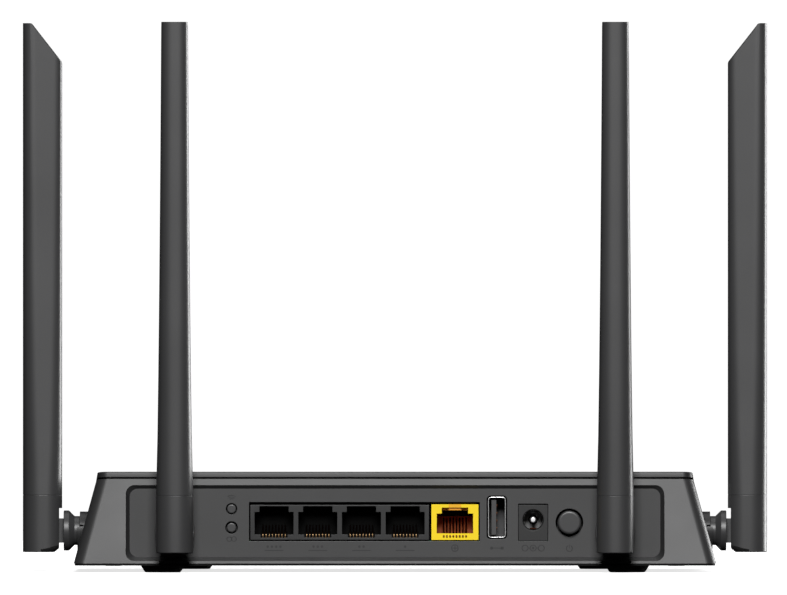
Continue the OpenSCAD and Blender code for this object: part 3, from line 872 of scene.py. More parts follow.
def side_bore(sign):
    """What is cut out of a side boss: the bore with a counterbore at each end."""
    inner_r, outer_r = 5.35, 4.85
    profile = [
        (SIDE_FACE - 7, inner_r),
        (SIDE_FACE - 4, inner_r),
        (SIDE_FACE - 4, BORE_R),
        (SIDE_FACE, BORE_R),
        (SIDE_FACE, outer_r),
        (SIDE_FACE + 2.5, outer_r),
    ]
    return turn_to(turned("tool", profile), OUTWARD[sign], SIDE_AXIS)


def side_slit(sign):
    """The parting slit across the end of a side boss."""
    x0, x1 = sorted((sign * (SIDE_FACE - 1.2), sign * (SIDE_FACE + 2)))
    return block("tool", (x0, FOLD_Y - 7, AXIS_Z + 1.4), (x1, FOLD_Y + 7, AXIS_Z + 1.9))


def window_tools(faces, half_x, half_y, z0, z1, radius):
    """What cuts the indicator windows, on the level deck."""
    y = faces.deck_length() - WINDOW_IN
    tools = []
    for i in range(WINDOWS):
        x = (i - (WINDOWS - 1) / 2) * WINDOW_PITCH
        ends = (x - half_x, y - half_y, z0), (x + half_x, y + half_y, z1)
        tools.append(rounded_block("tool", *ends, "z", radius, 3))
    return tools


class RouterMakeHousing(bpy.types.Operator):
    """Makes the upper housing with its recess, deck and bosses"""

    bl_idname = "router.housing"
    bl_label = "Housing"

    def execute(self, context):
        faces = BodyFaces(context.scene.router_body)
        wall = faces.sizes.wall / MM
        normal = faces.slope_normal()
        top = faces.deck_z + 2
        shell = leaning_block(faces, "housing_shell", 0, EDGE_Z, top)
        slice_off(shell, (0, faces.deck_y, faces.deck_z), normal)
        hollow = leaning_block(faces, "tool", wall, EDGE_Z - 1, top)
        slice_off(hollow, (0, faces.deck_y, faces.deck_z - wall), normal)
        cut(shell, hollow)
        plinth = leaning_block(faces, "plinth", 1.7, EDGE_Z + 2, top + 4)
        slice_off(plinth, (0, faces.deck_y, faces.deck_z + faces.sizes.groove / MM), normal)
        slice_off(plinth, (0, faces.deck_y, faces.deck_z - 0.8), [-n for n in normal])
        frame_tube = recess_tool(faces, 1.6)
        keep_inside(frame_tube, leaning_block(faces, "tool", 0.5, EDGE_Z, faces.deck_z - 0.5))
        add(shell, plinth, frame_tube, side_boss(-1), side_boss(1))
        cut(shell, recess_tool(faces, 0))
        half, seat_low, seat_high = 86.3, 4.1, 28
        cut(shell, block("tool", (-half, PANEL_Y, seat_low), (half, PANEL_Y + 1.7, seat_high)))
        for sign in (-1, 1):
            cut(shell, side_bore(sign))
            cut(shell, side_slit(sign))
        cut(shell, *[faces.on_deck(tool) for tool in window_tools(faces, 2.6, 0.9, -4, 3, 0.6)])
        soften(shell, faces.sizes.edge_round / MM)
        hand_in(shell, "housing_plastic", "upper_housing")
        return {"FINISHED"}


class RouterMakeCover(bpy.types.Operator):
    """Makes the top cover with its vents and indicator windows"""

    bl_idname = "router.cover"
    bl_label = "Top cover"

    def execute(self, context):
        faces = BodyFaces(context.scene.router_body)
        sizes = faces.sizes
        groove, inset, vent_depth = sizes.groove / MM, 0.25, 1.2
        top = groove + sizes.cover / MM
        end = faces.deck_length()
        rear_half = faces.side(faces.deck_z) - inset
        front_half = faces.side(faces.deck_end()[1]) - inset
        cover = block("top_plate", (-rear_half, inset, groove), (rear_half, end - inset, top))
        with editing(cover):
            pick(cover, "faces", lambda f: f.normal.y > 0.9)
            taper = (front_half / rear_half, 1, 1)
            bpy.ops.transform.resize(value=taper, center_override=(0, 0, 0))
        upright = lambda e: edge_run(e).z > 0.9
        rear_round, front_round = sizes.rear_corner / MM - inset, sizes.front_corner / MM - inset
        round_edges(cover, rear_round, lambda e: upright(e) and edge_mid(e).y < 20, 12)
        round_edges(cover, front_round, lambda e: upright(e) and edge_mid(e).y > end - 20, 12)
        rim = lambda e: edge_mid(e).z > top - 0.01 and edge_run(e).z < 0.1
        round_edges(cover, 0.45, rim, 3)
        tools = window_tools(faces, 2.4, 0.7, -1, 4, 0.5)
        for x in [side * (36 + i * 5) for side in (-1, 1) for i in range(10)]:
            ends = (x - 1, 11, top - vent_depth), (x + 1, 37, top + 1)
            tools.append(rounded_block("tool", *ends, "z", 0.95, 4))
        cut(cover, *tools)
        soften(cover, 0.12, 2)
        faces.on_deck(cover)
        hand_in(cover, "cover_plastic", "top_cover")
        return {"FINISHED"}


class RouterMakeUnderside(bpy.types.Operator):
    """Makes the bottom tray, its feet, screws and blank label"""

    bl_idname = "router.underside"
    bl_label = "Underside"

    def execute(self, context):
        dressed("bottom_tray", 0.12, "tray_plastic")
        for node in ("case_screws", "board_screws"):
            dressed(node, 0.1, "screw_steel")
        corner, opposite = low("feet"), high("feet")
        foot_r, front_x = 7.1, 65.6
        rear_x = (opposite.x - corner.x) / 2 - foot_r
        rear_y, front_y = corner.y + foot_r, opposite.y - foot_r
        profile = [
            (FOOT_H, foot_r),
            (0.5, 6.0),
            (0.18, 5.75),
            (0, 5.4),
            (0, 4.4),
            (0.25, 4.1),
            (0.25, 0.5),
        ]
        places = (rear_x, rear_y), (-rear_x, rear_y), (front_x, front_y), (-front_x, front_y)
        feet = [turn_to(turned("foot", profile, 48), "+z", (x, y, 0)) for x, y in places]
        hand_in(shade(joined(feet, "rubber_feet")), "foot_rubber", "feet")
        ends = (-30, -10, FOOT_H + 0.14), (30, 22, FOOT_H + 0.3)
        label = soften(rounded_block("blank_label", *ends, "z", 1.5, 5), 0.03, 2)
        hand_in(label, "label_paper", slot="tray_plastic")
        return {"FINISHED"}


# ---------- socket panel ----------


class RouterMakePanel(bpy.types.Operator):
    """Makes the recessed socket panel with its openings"""

    bl_idname = "router.panel"
    bl_label = "Socket panel"

    def execute(self, context):
        sockets = context.scene.router_sockets
        gap = sockets.panel_gap / MM
        through = near, far = PANEL_Y - 2, PANEL_Y + 4
        corner, opposite = low("rear_panel"), high("rear_panel")
        ends = (corner.x, PANEL_Y, corner.z), (opposite.x, PANEL_Y + PANEL_T, opposite.z)
        plate = rounded_block("socket_panel", *ends, "y", 3)
        shafts = [(sign * REAR_FOLD.x, 0, AXIS_Z) for sign in (-1, 1)]
        add(plate, *[rod("boss", "+y", BOSS_R, at, (PANEL_Y - 1, PANEL_Y + 3)) for at in shafts])
        lan, wan = low("lan_port_housing"), high("wan_port_housing")
        usb_low, usb_high = low("usb_shell"), high("usb_shell")
        inlet_low, inlet_high = low("dc_jack_body"), high("dc_jack_body")
        power, wifi, wps = middle("power_button"), middle("wifi_button"), middle("wps_button")
        tools = [
            block("tool", (lan.x - gap, near, lan.z - gap), (wan.x + gap, far, wan.z + gap * 1.8)),
            rounded_block(
                "tool",
                (usb_low.x - 0.4, near, usb_low.z - 0.4),
                (usb_high.x + 0.4, far, usb_high.z + 0.4),
                "y",
                1.3,
            ),
            block(
                "tool",
                (inlet_low.x - 0.12, near, inlet_low.z - 0.12),
                (inlet_high.x + 0.12, far, inlet_high.z + 0.35),
            ),
            rod("tool", "+y", 4.4, (power.x, 0, power.z), through),
            rod("tool", "+y", 1.8, (wifi.x, 0, wifi.z), through, 48),
            rod("tool", "+y", 2.0, (wps.x, 0, wps.z), through, 48),
        ]
        cut(plate, *tools, *[rod("tool", "+y", BORE_R, at, through) for at in shafts])
        soften(plate, 0.12, 2)
        hand_in(plate, "panel_plastic", "rear_panel")
        return {"FINISHED"}


INK_T = 0.05


def lan_places(sockets):
    """Middle of each LAN socket along X."""
    return [low("lan_port_housing").x + 7.6 + i * (sockets.lan_pitch / MM) for i in range(4)]


def ink_bar(x, z, wide, tall):
    """A flat printed bar, centred."""
    corner = (x - wide / 2, PANEL_Y - INK_T, z - tall / 2)
    return block("ink", corner, (x + wide / 2, PANEL_Y + INK_T, z + tall / 2))


def ink_dot(x, z, radius):
    """A flat printed dot."""
    return rod("ink", "+y", radius, (x, 0, z), (PANEL_Y - INK_T, PANEL_Y + INK_T), 24)


def ink_ring(x, z, radius, open_side=None):
    """A flat printed ring, its top left open, or only a quarter of one at its top."""
    half_line = 0.12
    bpy.ops.object.select_all(action="DESELECT")
    bpy.ops.mesh.primitive_torus_add(
        major_segments=40, minor_segments=6, major_radius=radius * MM, minor_radius=half_line * MM
    )
    ring = added("ink")
    ring.scale = (1, 1, INK_T / half_line)
    settle(ring)
    turn_to(ring, "+y", (x, PANEL_Y, z))
    if open_side == "arc":
        slice_off(ring, (x, PANEL_Y, z), (1, 0, -1))
        slice_off(ring, (x, PANEL_Y, z), (-1, 0, -1))
    if open_side == "gap":
        notch = block("tool", (x - 0.4, PANEL_Y - 1, z), (x + 0.4, PANEL_Y + 1, z + radius + 1))
        cut(ring, notch)
    return ring


class RouterMakeMarks(bpy.types.Operator):
    """Prints plain marks beside the sockets and the buttons"""

    bl_idname = "router.marks"
    bl_label = "Panel marks"

    def execute(self, context):
        row, above, below = 7.8, 22.9, 10.7
        ink = []
        for i, x in enumerate(lan_places(context.scene.router_sockets)):
            for k in range(4 - i):
                ink.append(ink_dot(x + (k - (3 - i) / 2) * 1.35, row + 0.45, 0.4))
            ink.append(ink_bar(x, row - 0.75, 6.0, 0.28))
        wan = middle("wan_port_housing").x
        ink.append(ink_ring(wan, row, 1.05))
        ink += [ink_bar(wan, row, 2.0, 0.22), ink_bar(wan, row, 0.22, 2.0)]
        usb = middle("usb_shell").x
        ink += [ink_bar(usb, row, 3.0, 0.26), ink_dot(usb - 1.7, row, 0.5)]
        ink.append(ink_bar(usb + 1.7, row, 0.9, 0.9))
        inlet = middle("dc_jack_body").x
        ink += [ink_ring(inlet + side * 2.6, row, 0.95) for side in (-1, 0, 1)]
        ink += [ink_bar(inlet + side * 1.3, row, 0.8, 0.22) for side in (-1, 1)]
        ink.append(ink_dot(inlet, row, 0.4))
        power = middle("power_button").x
        ink += [ink_ring(power, row - 0.1, 0.95, "gap"), ink_bar(power, row + 0.55, 0.26, 1.1)]
        small = middle("wifi_button").x
        ink += [ink_ring(small, above, r, "arc") for r in (0.75, 1.3, 1.85)]
        ink += [ink_ring(small - 0.75, below, 0.75), ink_ring(small + 0.75, below, 0.75)]
        hand_in(shade(joined(ink, "panel_marks")), "mark_ink", slot="panel_plastic")
        return {"FINISHED"}


# ---------- sockets ----------


def spring_wires(name, x, pitch, path, radius):
    """A socket's eight spring wires, each through (depth behind the panel, height) pairs."""
    wires = []
    for i in range(CONTACTS):
        at = x + (i - (CONTACTS - 1) / 2) * pitch
        wires.append(wire(name, [(at, PANEL_Y + y, z) for y, z in path], radius))
    return wires


def socket_room(x, half, near, back, floor, ceiling):
    """A socket's opening, its back sloping so that the room is deeper at the floor."""
    room = block("tool", (x - half, near, floor), (x + half, back, ceiling))
    with editing(room):
        pick(room, "verts", lambda v: v.co.z / MM > ceiling - 0.01 and v.co.y / MM > back - 0.01)
        bpy.ops.transform.translate(value=(0, -5 * MM, 0), orient_type="GLOBAL")
    return room


class RouterMakeNetworkSockets(bpy.types.Operator):
    """Makes the LAN gang and the WAN socket with their contacts"""

    bl_idname = "router.network_sockets"
    bl_label = "Network sockets"

    def lan(self, sockets):
        """The black gang of four with its contacts."""
        corner, opposite = low("lan_port_housing"), high("lan_port_housing")
        half, notch = sockets.lan_opening / 2 / MM, sockets.lan_notch / 2 / MM
        near, back = PANEL_Y - 1, PANEL_Y + sockets.plug_depth / MM
        floor, comb = 12.1, 4.3
        bend = [(0.55, 11.15), (0.3, 11.55), (0.35, 12.05), (0.75, 12.32)]
        path = bend + [(10.4, 15.2), (10.9, 15.1)]
        gang = block("lan_gang", corner, opposite)
        openings, notches, troughs, contacts = [], [], [], []
        for x in lan_places(sockets):
            openings.append(socket_room(x, half, near, back, floor, 19.3))
            notches.append(block("tool", (x - notch, near, 13), (x + notch, back - 6, 21.15)))
            troughs.append(block("tool", (x - comb, near, 11.1), (x + comb, back, 12.6)))
            contacts += spring_wires("lan_wire", x, sockets.contact_pitch / MM, path, 0.2)
        for tools in (openings, notches, troughs):
            cut(gang, *tools)
        soften(gang, 0.16, 2)
        hand_in(gang, "socket_plastic", "lan_port_housing")
        self.springs(contacts, "lan_springs", "lan_contacts")

    def wan(self, sockets):
        """The yellow socket with its contacts."""
        corner, opposite = low("wan_port_housing"), high("wan_port_housing")
        half, notch = sockets.wan_opening / 2 / MM, sockets.wan_notch / 2 / MM
        pitch = sockets.contact_pitch / MM
        near, back = PANEL_Y - 1, PANEL_Y + sockets.plug_depth / MM
        x = middle("wan_port_housing").x
        body = block("wan_gang", corner, opposite)
        rooms = [
            (half, near, back, 12.5, 18.85),
            (notch, near, PANEL_Y + 1.6, 13, 20.75),
            (notch, near, back, 13, 19.9),
            (half + 0.4, PANEL_Y + 3, back + 3.4, 17.9, 19.9),
            (2, near, PANEL_Y + 0.9, 20.2, 23),
            (4.3, PANEL_Y + 1.6, back, 11.5, 13),
        ]
        for wide, y0, y1, z0, z1 in rooms:
            cut(body, block("tool", (x - wide, y0, z0), (x + wide, y1, z1)))
        for i in range(CONTACTS):
            at = x + (i - (CONTACTS - 1) / 2) * pitch
            cut(body, block("tool", (at - 0.27, near, 11.1), (at + 0.27, PANEL_Y + 3, 11.95)))
        soften(body, 0.14, 2)
        hand_in(body, "yellow_plastic", "wan_port_housing")
        path = [(2.3, 11.9), (2.5, 12.4), (3.0, 12.75), (10.8, 17.3), (11.3, 17.2)]
        self.springs(spring_wires("wan_wire", x, pitch, path, 0.25), "wan_springs", "wan_contacts")

    def springs(self, wires, name, node):
        """Hands in a gang's spring wires as one piece."""
        hand_in(shade(joined(wires, name)), "gold_contact", node)

    def execute(self, context):
        sockets = context.scene.router_sockets
        self.lan(sockets)
        self.wan(sockets)
        return {"FINISHED"}


class RouterMakeUsb(bpy.types.Operator):
    """Makes the USB socket"""

    bl_idname = "router.usb"
    bl_label = "USB socket"

    def execute(self, context):
        skin = context.scene.router_sockets.shell / MM
        corner, opposite = low("usb_shell"), high("usb_shell")
        shell = rounded_block("usb_case", corner, opposite, "y", 1.05, 6)
        ends = corner + Vector((skin, -1, skin)), opposite - Vector((skin, skin, skin))
        cut(shell, rounded_block("tool", *ends, "y", 0.75, 6))
        centre = middle("usb_shell")
        windows = []
        for x in (centre.x - 2.85, centre.x + 2.85):
            for z in (centre.z - 3.2, centre.z + 3.2):
                ends = (x - 0.6, PANEL_Y + 3, z - 0.9), (x + 0.6, PANEL_Y + 6.5, z + 0.9)
                windows.append(block("tool", *ends))
        cut(shell, *windows)
        soften(shell, 0.09, 2)
        hand_in(shell, "usb_nickel", "usb_shell", slot="nickel_steel")
        dressed("usb_tongue", 0.12, "tongue_plastic", slot="socket_plastic")
        dressed("usb_contacts", 0.05, "gold_contact")
        return {"FINISHED"}


class RouterMakeInlet(bpy.types.Operator):
    """Makes the power inlet with its pin"""

    bl_idname = "router.inlet"
    bl_label = "Power inlet"

    def execute(self, context):
        radius = context.scene.router_sockets.inlet_hole / MM
        pin, tip = middle("dc_jack_pin"), low("dc_jack_pin").y
        face_at = (pin.x, low("dc_jack_body").y, pin.z)
        body = block("inlet_body", low("dc_jack_body"), high("dc_jack_body"))
        bore = [(-1, radius + 1), (0, radius + 0.3), (0.3, radius), (9.6, radius)]
        cut(body, turn_to(turned("tool", bore), "+y", face_at))
        soften(body, 0.08, 2)
        hand_in(body, "socket_plastic", "dc_jack_body")
        root = PANEL_Y + 9.5 - tip
        profile = [(0, 0.6), (0.08, 0.8), (0.3, 0.98), (0.7, 1.05), (root, 1.05)]
        post = shade(turn_to(turned("inlet_post", profile, 40), "+y", (pin.x, tip, pin.z)))
        hand_in(post, "pin_nickel", "dc_jack_pin", slot="nickel_steel")
        # the seat's light grey finish is painted light in the shaded bore
        profile = [(8.8, 3.1), (9.3, 3.1), (9.55, 2.9)]
        washer = turn_to(turned("inlet_seat", profile, 48), "+y", face_at)
        cut(washer, rod("tool", "+y", 1.5, face_at, (8, 10), 48))
        soften(washer, 0.05, 2)
        hand_in(washer, "inlet_plastic", slot="socket_plastic")
        dressed("dc_jack_spring", 0.05, "gold_contact")
        return {"FINISHED"}


# ---------- buttons ----------


class RouterMakeButtons(bpy.types.Operator):
    """Makes the power button, the two small buttons and their switches"""

    bl_idname = "router.buttons"
    bl_label = "Buttons"

    def cap(self, node, body, radius, round_off, stem, cap_end):
        """A round cap with a rounded edge on a thinner stem."""
        front, back = low(node).y, high(node).y
        at = middle(node)
        long = back - front
        profile = [
            (0, radius - round_off * 1.6),
            (round_off * 0.1, radius - round_off * 0.8),
            (round_off * 0.35, radius - round_off * 0.3),
            (round_off, radius),
            (cap_end, radius),
            (cap_end, stem),
            (long - 0.2, stem),
            (long, stem - 0.2),
        ]
        piece = turn_to(turned(node + "_cap", profile), "+y", (at.x, front, at.z))
        hand_in(shade(piece), "button_plastic", node, body=body)

    def execute(self, context):
        self.cap("power_button", "power_key", 3.72, 0.5, 1.5, 5.6)
        self.cap("wifi_button", "wifi_key", 1.45, 0.25, 0.9, 2.8)
        self.cap("wps_button", "wps_key", 1.5, 0.25, 0.9, 2.8)
        for node in ("power_switch", "wifi_switch", "wps_switch"):
            dressed(node, 0.15, "chip_plastic")
        return {"FINISHED"}


# ---------- antennas: made about the fold axis, +X out of the body, +Z up ----------


def section(z, x0, x1, half, thinned, outer, inner):
    """A flat outline at a height: crowned at the outer end, thinned at the inner end.

    outer and inner are each a corner's reach and its fullness, from 0.5 for a round corner to 1.
    """
    bpy.ops.object.select_all(action="DESELECT")
    bpy.ops.mesh.primitive_plane_add(size=1, location=Vector(((x0 + x1) / 2, 0, z)) * MM)
    obj = bpy.context.active_object
    obj.scale = ((x1 - x0) * MM, 2 * half * MM, 1)
    settle(obj)
    with editing(obj):
        pick(obj, "verts", lambda v: abs(v.co.x / MM - x0) < 0.01)
        bpy.ops.transform.resize(value=(1, thinned, 1), center_override=(0, 0, z * MM))
        for (reach, full), edge in ((outer, x1), (inner, x0)):
            pick(obj, "verts", lambda v: abs(v.co.x / MM - edge) < 0.01)
            bpy.ops.mesh.bevel(
                offset=reach * MM, segments=14, profile=full, affect="VERTICES", clamp_overlap=True
            )
        bpy.ops.mesh.select_all(action="SELECT")
        bpy.ops.mesh.delete(type="ONLY_FACE")
    return obj


def lofted(name, sections):
    """A closed skin through flat outlines, from the lowest to the highest."""
    heights = [s[0] for s in sections]
    obj = joined([section(*s) for s in sections], name)
    with editing(obj):
        for z0, z1 in zip(heights, heights[1:]):
            level = lambda e, z: all(abs(v.co.z / MM - z) < 0.01 for v in e.verts)
            pick(obj, "edges", lambda e: level(e, z0) or level(e, z1))
            bpy.ops.mesh.bridge_edge_loops(type="SINGLE")
        for z in (heights[0], heights[-1]):
            pick(obj, "edges", lambda e: all(abs(v.co.z / MM - z) < 0.01 for v in e.verts))
            bpy.ops.mesh.edge_face_add()
        face_out()
    return obj


class Blade:
    """Sizes of one antenna in its own place, in millimetres."""

    def __init__(self, sizes):
        self.sizes = sizes
        self.outer = high("antenna_sleeve_side_right").x - FOLD_X
        self.inner = self.outer - sizes.depth / MM
        self.seam = low("antenna_sleeve_side_right").z - AXIS_Z
        self.top = high("antenna_sleeve_side_right").z - AXIS_Z

    def width(self, z):
        """Thickness at a height: it thins faster near the base."""
        part = max(0, (z - self.seam) / (self.top - self.seam))
        base, tip = self.sizes.base_width / MM, self.sizes.tip_width / MM
        return base + (tip - base) * (1.35 * part - 0.35 * part * part)

    def outline(self, z, inset):
        """The outline at a height, moved in by inset, as the values that section takes."""
        sizes = self.sizes
        part = min(1, max(0, (z - self.seam) / (self.top - self.seam)))
        eased = sqrt(part)
        half = self.width(z) / 2 - inset
        thinned = 1 + (sizes.blade_thin - 1) * eased
        full = lambda tip: sizes.base_full + (tip - sizes.base_full) * eased
        outer = (half * 0.96, full(sizes.outer_full))
        inner = (half * thinned * 0.94, full(sizes.inner_full))
        return z, self.inner + inset, self.outer - inset, half, thinned, outer, inner

    def skin(self, name, inset, z0, z1, drop):
        """The blade's closed form, moved in by inset, its slanting tip lowered by drop."""
        sizes = self.sizes
        obj = lofted(name, [self.outline(z0 + (z1 - z0) * i / 8, inset) for i in range(9)])
        run = (sizes.depth - sizes.tip_flat) / MM
        fall = sizes.tip_drop / MM
        point = (self.outer - sizes.tip_flat / MM, 0, self.top - drop)
        normal = Vector((-fall, 0, run)).normalized()
        slice_off(obj, point, normal)
        return obj, normal


def placed(obj, station):
    """Puts a piece made about the fold axis at one of the four stations."""
    left = station == "side_left"
    if station.startswith("side"):
        turn = Matrix.Scale(-1, 4, (1, 0, 0)) if left else Matrix.Identity(4)
        place = Vector((-FOLD_X if left else FOLD_X, FOLD_Y, AXIS_Z))
    else:
        turn = Matrix.Rotation(-pi / 2, 4, "Z")
        sign = -1 if station.endswith("left") else 1
        place = Vector((sign * REAR_FOLD.x, REAR_FOLD.y, AXIS_Z))
    obj.matrix_world = Matrix.Translation(place * MM) @ turn
    settle(obj)
    if left:
        with editing(obj):
            face_out()
        bpy.ops.mesh.customdata_custom_splitnormals_clear()
        shade(obj)
    return obj


class RouterMakeAntennas(bpy.types.Operator):
    """Makes the four antennas: swivel, base, sleeve, pin and radiator"""

    bl_idname = "router.antennas"
    bl_label = "Antennas"

    def sleeve(self, blade):
        """The hollow blade with its slanting tip."""
        sizes = blade.sizes
        obj, normal = blade.skin("antenna_blade", 0, blade.seam, blade.top, 0)
        tip = lambda f: f.normal.dot(normal) > 0.99
        with editing(obj):
            pick(obj, "edges", lambda e: sum(tip(f) for f in e.link_faces) == 1)
            bpy.ops.mesh.bevel(offset=0.42 * MM, segments=3, profile=0.5, clamp_overlap=True)
        top = blade.top - 0.01
        with editing(obj):
            pick(
                obj,
                "edges",
                lambda e: all(v.co.z / MM > top for v in e.verts)
                and any(abs(f.normal.z) < 0.5 for f in e.link_faces),
            )
            bpy.ops.mesh.bevel(offset=0.4 * MM, segments=3, profile=0.5, clamp_overlap=True)
        hollow, _ = blade.skin("tool", sizes.skin / MM, blade.seam - 1, blade.top - 3, 2.6)
        cut(obj, hollow)
        round_edges(obj, sizes.seam / MM, lambda e: is_rim(e, blade.seam), 2)
        return shade(obj)

    def base(self, blade):
        """The fork that holds the blade, with the plug that the sleeve slides over."""
        sizes = blade.sizes
        half = sizes.base_width / 2 / MM
        bottom = low("antenna_base_side_right").z - AXIS_Z
        seam_outline = blade.outline(blade.seam, 0)[1:]
        obj = lofted("antenna_fork", [(z, *seam_outline) for z in (bottom, 0, blade.seam)])
        round_edges(obj, 0.35, lambda e: is_rim(e, bottom), 3)
        round_edges(obj, sizes.seam / MM, lambda e: is_rim(e, blade.seam), 2)
        bpy.ops.object.select_all(action="DESELECT")
        bpy.ops.mesh.primitive_uv_sphere_add(segments=64, ring_count=32, radius=TURN_R * MM)
        ball = added("tool")
        outer_side = block("tool", (0, -10, -20), (20, 10, 20))
        add(ball, outer_side, block("tool", (-20, -10, 0), (1, 10, 20)))
        keep_inside(obj, ball)
        step_x, step_z, slot_half, slot_x, slot_z = -5.8, 7.2, 2.15, 4.3, 4.2
        cut(obj, block("tool", (-11, -10, -20), (step_x, 10, step_z)))
        cut(obj, block("tool", (-12, -slot_half, -20), (slot_x, slot_half, slot_z)))
        cut(obj, rod("tool", "+y", PIN_R, (0, 0, 0), (-4.9, 10), 32))
        inside, plug_high = 1.6, 3.9
        plug_low = (blade.inner + inside, -half + inside, blade.seam - 0.5)
        plug_top = (blade.outer - inside, half - inside, blade.seam + plug_high)
        add(obj, rounded_block("plug", plug_low, plug_top, "z", 3))
        return soften(obj, 0.14, 2, flat=False)

    def swivel(self):
        """The turned shaft and flange with the tongue that the antenna folds on."""
        face = -FOLD_OUT
        dish_r = 8.75
        dish = [sqrt(dish_r**2 - r * r) for r in (3.9, 2.9, 1.9)]
        profile = [
            (face - 5.6, 4.3),
            (face - 5.2, 4.75),
            (face - 4.2, 4.75),
            (face - 4.2, 4.05),
            (face, 4.05),
            (face, 4.55),
            (face + 0.1, 4.65),
            (face + 1.7, 4.65),
            (face + 3.35, 6.3),
            (face + 3.6, 6.45),
            (face + 5.05, 6.45),
            (face + 5.2, 6.3),
            (face + 5.2, 4.82),
            (-dish[0], 3.9),
            (-dish[1], 2.9),
            (-dish[2], 1.9),
        ]
        obj = turn_to(turned("antenna_swivel", profile), "+x", (0, 0, 0))
        half = 2
        tongue = block("tongue", (face + 3.5, -half, -EYE_R), (0, half, EYE_R))
        add(tongue, rod("eye", "+y", EYE_R, (0, 0, 0), (-half, half)))
        add(obj, tongue)
        lead_r, play = 1.4, 0.05
        cut(obj, rod("tool", "+x", lead_r, (0, 0, 0), (face - 10, -5.4), 32))
        cut(obj, rod("tool", "+y", PIN_R + play, (0, 0, 0), (-5, 5), 32))
        return soften(obj, 0.12, 2, 38)

    def execute(self, context):
        blade = Blade(context.scene.router_antennas)
        parts = {
            "antenna_sleeve_": self.sleeve(blade),
            "antenna_base_": self.base(blade),
            "swivel_": self.swivel(),
        }
        for station in STATIONS:
            for node, part in parts.items():
                twin = placed(copied(part, part.name + "_" + station), station)
                body = ("swivel_" if node == "swivel_" else "antenna_") + station
                hand_in(twin, "antenna_plastic", node + station, body=body)
            dressed("hinge_pin_" + station, 0.12, "screw_steel", "antenna_" + station)
            dressed("radiator_" + station, 0.1, "radiator_copper", "antenna_" + station)
            dressed("coax_lead_" + station, 0, "cable_jacket")
        for part in parts.values():
            bpy.data.objects.remove(part)
        return {"FINISHED"}


def is_rim(edge, z):
    """Whether an edge lies in the flat ring at a height."""
    return all(abs(v.co.z / MM - z) < 0.01 for v in edge.verts) and any(
        abs(f.normal.z) < 0.5 for f in edge.link_faces
    )


# ---------- electronics ----------


class RouterMakeElectronics(bpy.types.Operator):
    """Finishes the board and what stands on it"""

    bl_idname = "router.electronics"
    bl_label = "Electronics"

    def execute(self, context):
        edges = {
            "main_board": (0.1, "circuit_board"),
            "button_board": (0.08, "circuit_board"),
            "processor": (0.1, "chip_plastic"),
            "thermal_pad": (0.1, "thermal_silicone"),
            "heat_sink": (0.12, "heat_sink_aluminium"),
            "memory_chips": (0.08, "chip_plastic"),
            "rf_shields": (0.08, "tinned_steel"),
            "lan_transformers": (0.25, "chip_plastic"),
            "capacitors": (0.4, "capacitor_can"),
            "indicator_leds": (0.08, "led_plastic"),
            "light_guide": (0.08, "clear_plastic"),
        }
        for node, (width, finish) in edges.items():
            dressed(node, width, finish)
        return {"FINISHED"}


# ---------- studio ----------


def area_light(name, power, size, at, aim, tall=None):
    """A rectangular soft light that points at a place, in metres."""
    lamp = bpy.data.lights.new(name, "AREA")
    lamp.energy = power
    lamp.shape = "RECTANGLE"
    lamp.size, lamp.size_y = size, tall or size
    obj = bpy.data.objects.new(name, lamp)
    obj.location = at
    obj.rotation_euler = (Vector(aim) - Vector(at)).to_track_quat("-Z", "Y").to_euler()
    bpy.context.scene.collection.objects.link(obj)


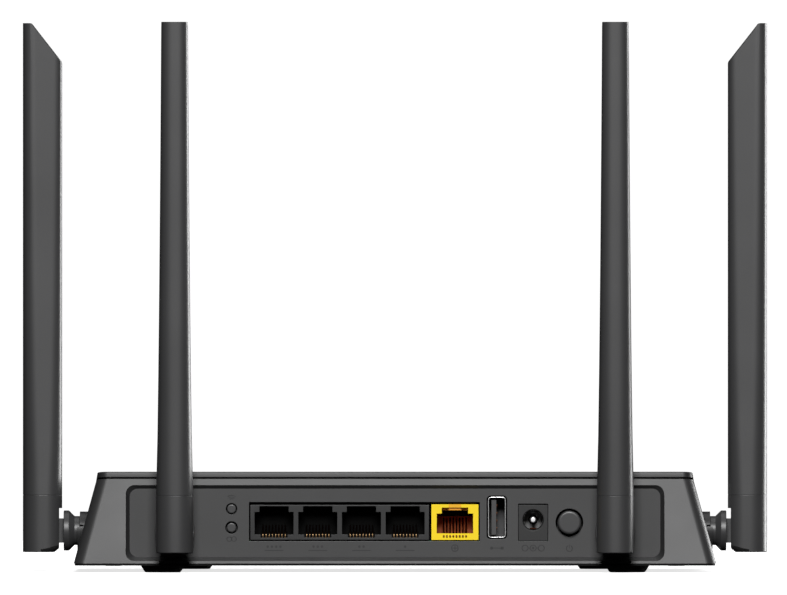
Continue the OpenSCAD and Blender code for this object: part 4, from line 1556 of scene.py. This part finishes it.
class RouterMakeStudio(bpy.types.Operator):
    """Makes the pale floor, the lights, the surroundings and the camera"""

    bl_idname = "router.studio"
    bl_label = "Studio"

    def floor(self):
        """A wide pale floor."""
        bpy.ops.object.select_all(action="DESELECT")
        bpy.ops.mesh.primitive_circle_add(vertices=96, radius=1.1, fill_type="NGON")
        floor = added("studio_floor")
        paper = (0.9, 0.9, 0.9)
        shader = moulded("floor_paper", paper, 0.8, 0.0, 900.0, 0.004, specular=0.0)[1]
        shader.inputs["Emission Color"].default_value = (1, 1, 1, 1)
        shader.inputs["Emission Strength"].default_value = 0.75
        coat(floor, "floor_paper")
        floor.visible_diffuse = floor.visible_glossy = False

    def surroundings(self, fill):
        """White where the camera looks past the floor, and a dim room for the light."""
        world = bpy.data.worlds.new("studio")
        bpy.context.scene.world = world
        world.use_nodes = True
        graph = Graph(world.node_tree)
        shown = world.node_tree.nodes["Background"]
        shown.inputs["Color"].default_value = (1, 1, 1, 1)
        shown.inputs["Strength"].default_value = 1.05
        room = graph.node("ShaderNodeBackground", Strength=fill)
        path = graph.node("ShaderNodeLightPath")
        mix = graph.node("ShaderNodeMixShader")
        graph.link(path.outputs["Is Camera Ray"], mix.inputs[0])
        graph.link(room.outputs[0], mix.inputs[1])
        graph.link(shown.outputs[0], mix.inputs[2])
        graph.link(mix.outputs[0], world.node_tree.nodes["World Output"].inputs["Surface"])

    def execute(self, context):
        studio = context.scene.router_studio
        self.floor()
        self.surroundings(studio.fill)
        area_light("key", studio.key, 0.7, (0.0, -2.0, 1.08), (0, 0, 0.06))
        area_light("top", studio.top, 1.2, (0, 0.1, 1.6), (0, 0, 0))
        area_light("rim", studio.rim, 0.9, (1.35, 0.95, 0.35), (0.05, 0, 0.08), 1.2)
        camera = bpy.data.cameras.new("camera")
        camera.lens = studio.lens
        camera.sensor_width = 36
        camera.clip_end = 40
        eye = bpy.data.objects.new("camera", camera)
        eye.location = (studio.aside, PANEL_Y * MM - studio.distance, studio.height)
        eye.rotation_euler = (pi / 2, 0, 0)
        context.scene.collection.objects.link(eye)
        context.scene.camera = eye
        context.scene.view_settings.view_transform = "Standard"
        return {"FINISHED"}


# ---------- the add-on ----------


GROUPS = {
    "router_body": RouterBodySizes,
    "router_antennas": RouterAntennaSizes,
    "router_sockets": RouterSocketSizes,
    "router_finishes": RouterFinishes,
    "router_studio": RouterStudio,
}

OPERATORS = (
    RouterMakeFinishes,
    RouterMakeHousing,
    RouterMakeCover,
    RouterMakeUnderside,
    RouterMakePanel,
    RouterMakeMarks,
    RouterMakeNetworkSockets,
    RouterMakeUsb,
    RouterMakeInlet,
    RouterMakeButtons,
    RouterMakeAntennas,
    RouterMakeElectronics,
    RouterMakeStudio,
)


class ROUTER_PT_panel(bpy.types.Panel):
    """Lists the router's sizes and the steps that build it"""

    bl_idname = "ROUTER_PT_panel"
    bl_label = "Router"
    bl_space_type = "VIEW_3D"
    bl_region_type = "UI"
    bl_category = "Router"

    def draw(self, context):
        for name, group in GROUPS.items():
            box = self.layout.box()
            box.label(text=group.__doc__)
            for prop in group.__annotations__:
                box.prop(getattr(context.scene, name), prop)
        for operator in OPERATORS:
            self.layout.operator(operator.bl_idname)


def register():
    """Registers the classes and hangs the property groups on the scene."""
    for cls in (*GROUPS.values(), *OPERATORS, ROUTER_PT_panel):
        bpy.utils.register_class(cls)
    for name, group in GROUPS.items():
        setattr(bpy.types.Scene, name, PointerProperty(type=group))


def unregister():
    """Undoes register."""
    for name in GROUPS:
        delattr(bpy.types.Scene, name)
    for cls in reversed((*GROUPS.values(), *OPERATORS, ROUTER_PT_panel)):
        bpy.utils.unregister_class(cls)


def main():
    """Builds every piece in order."""
    register()
    for operator in OPERATORS:
        getattr(bpy.ops.router, operator.bl_idname.split(".")[1])()


if __name__ == "__main__":
    main()
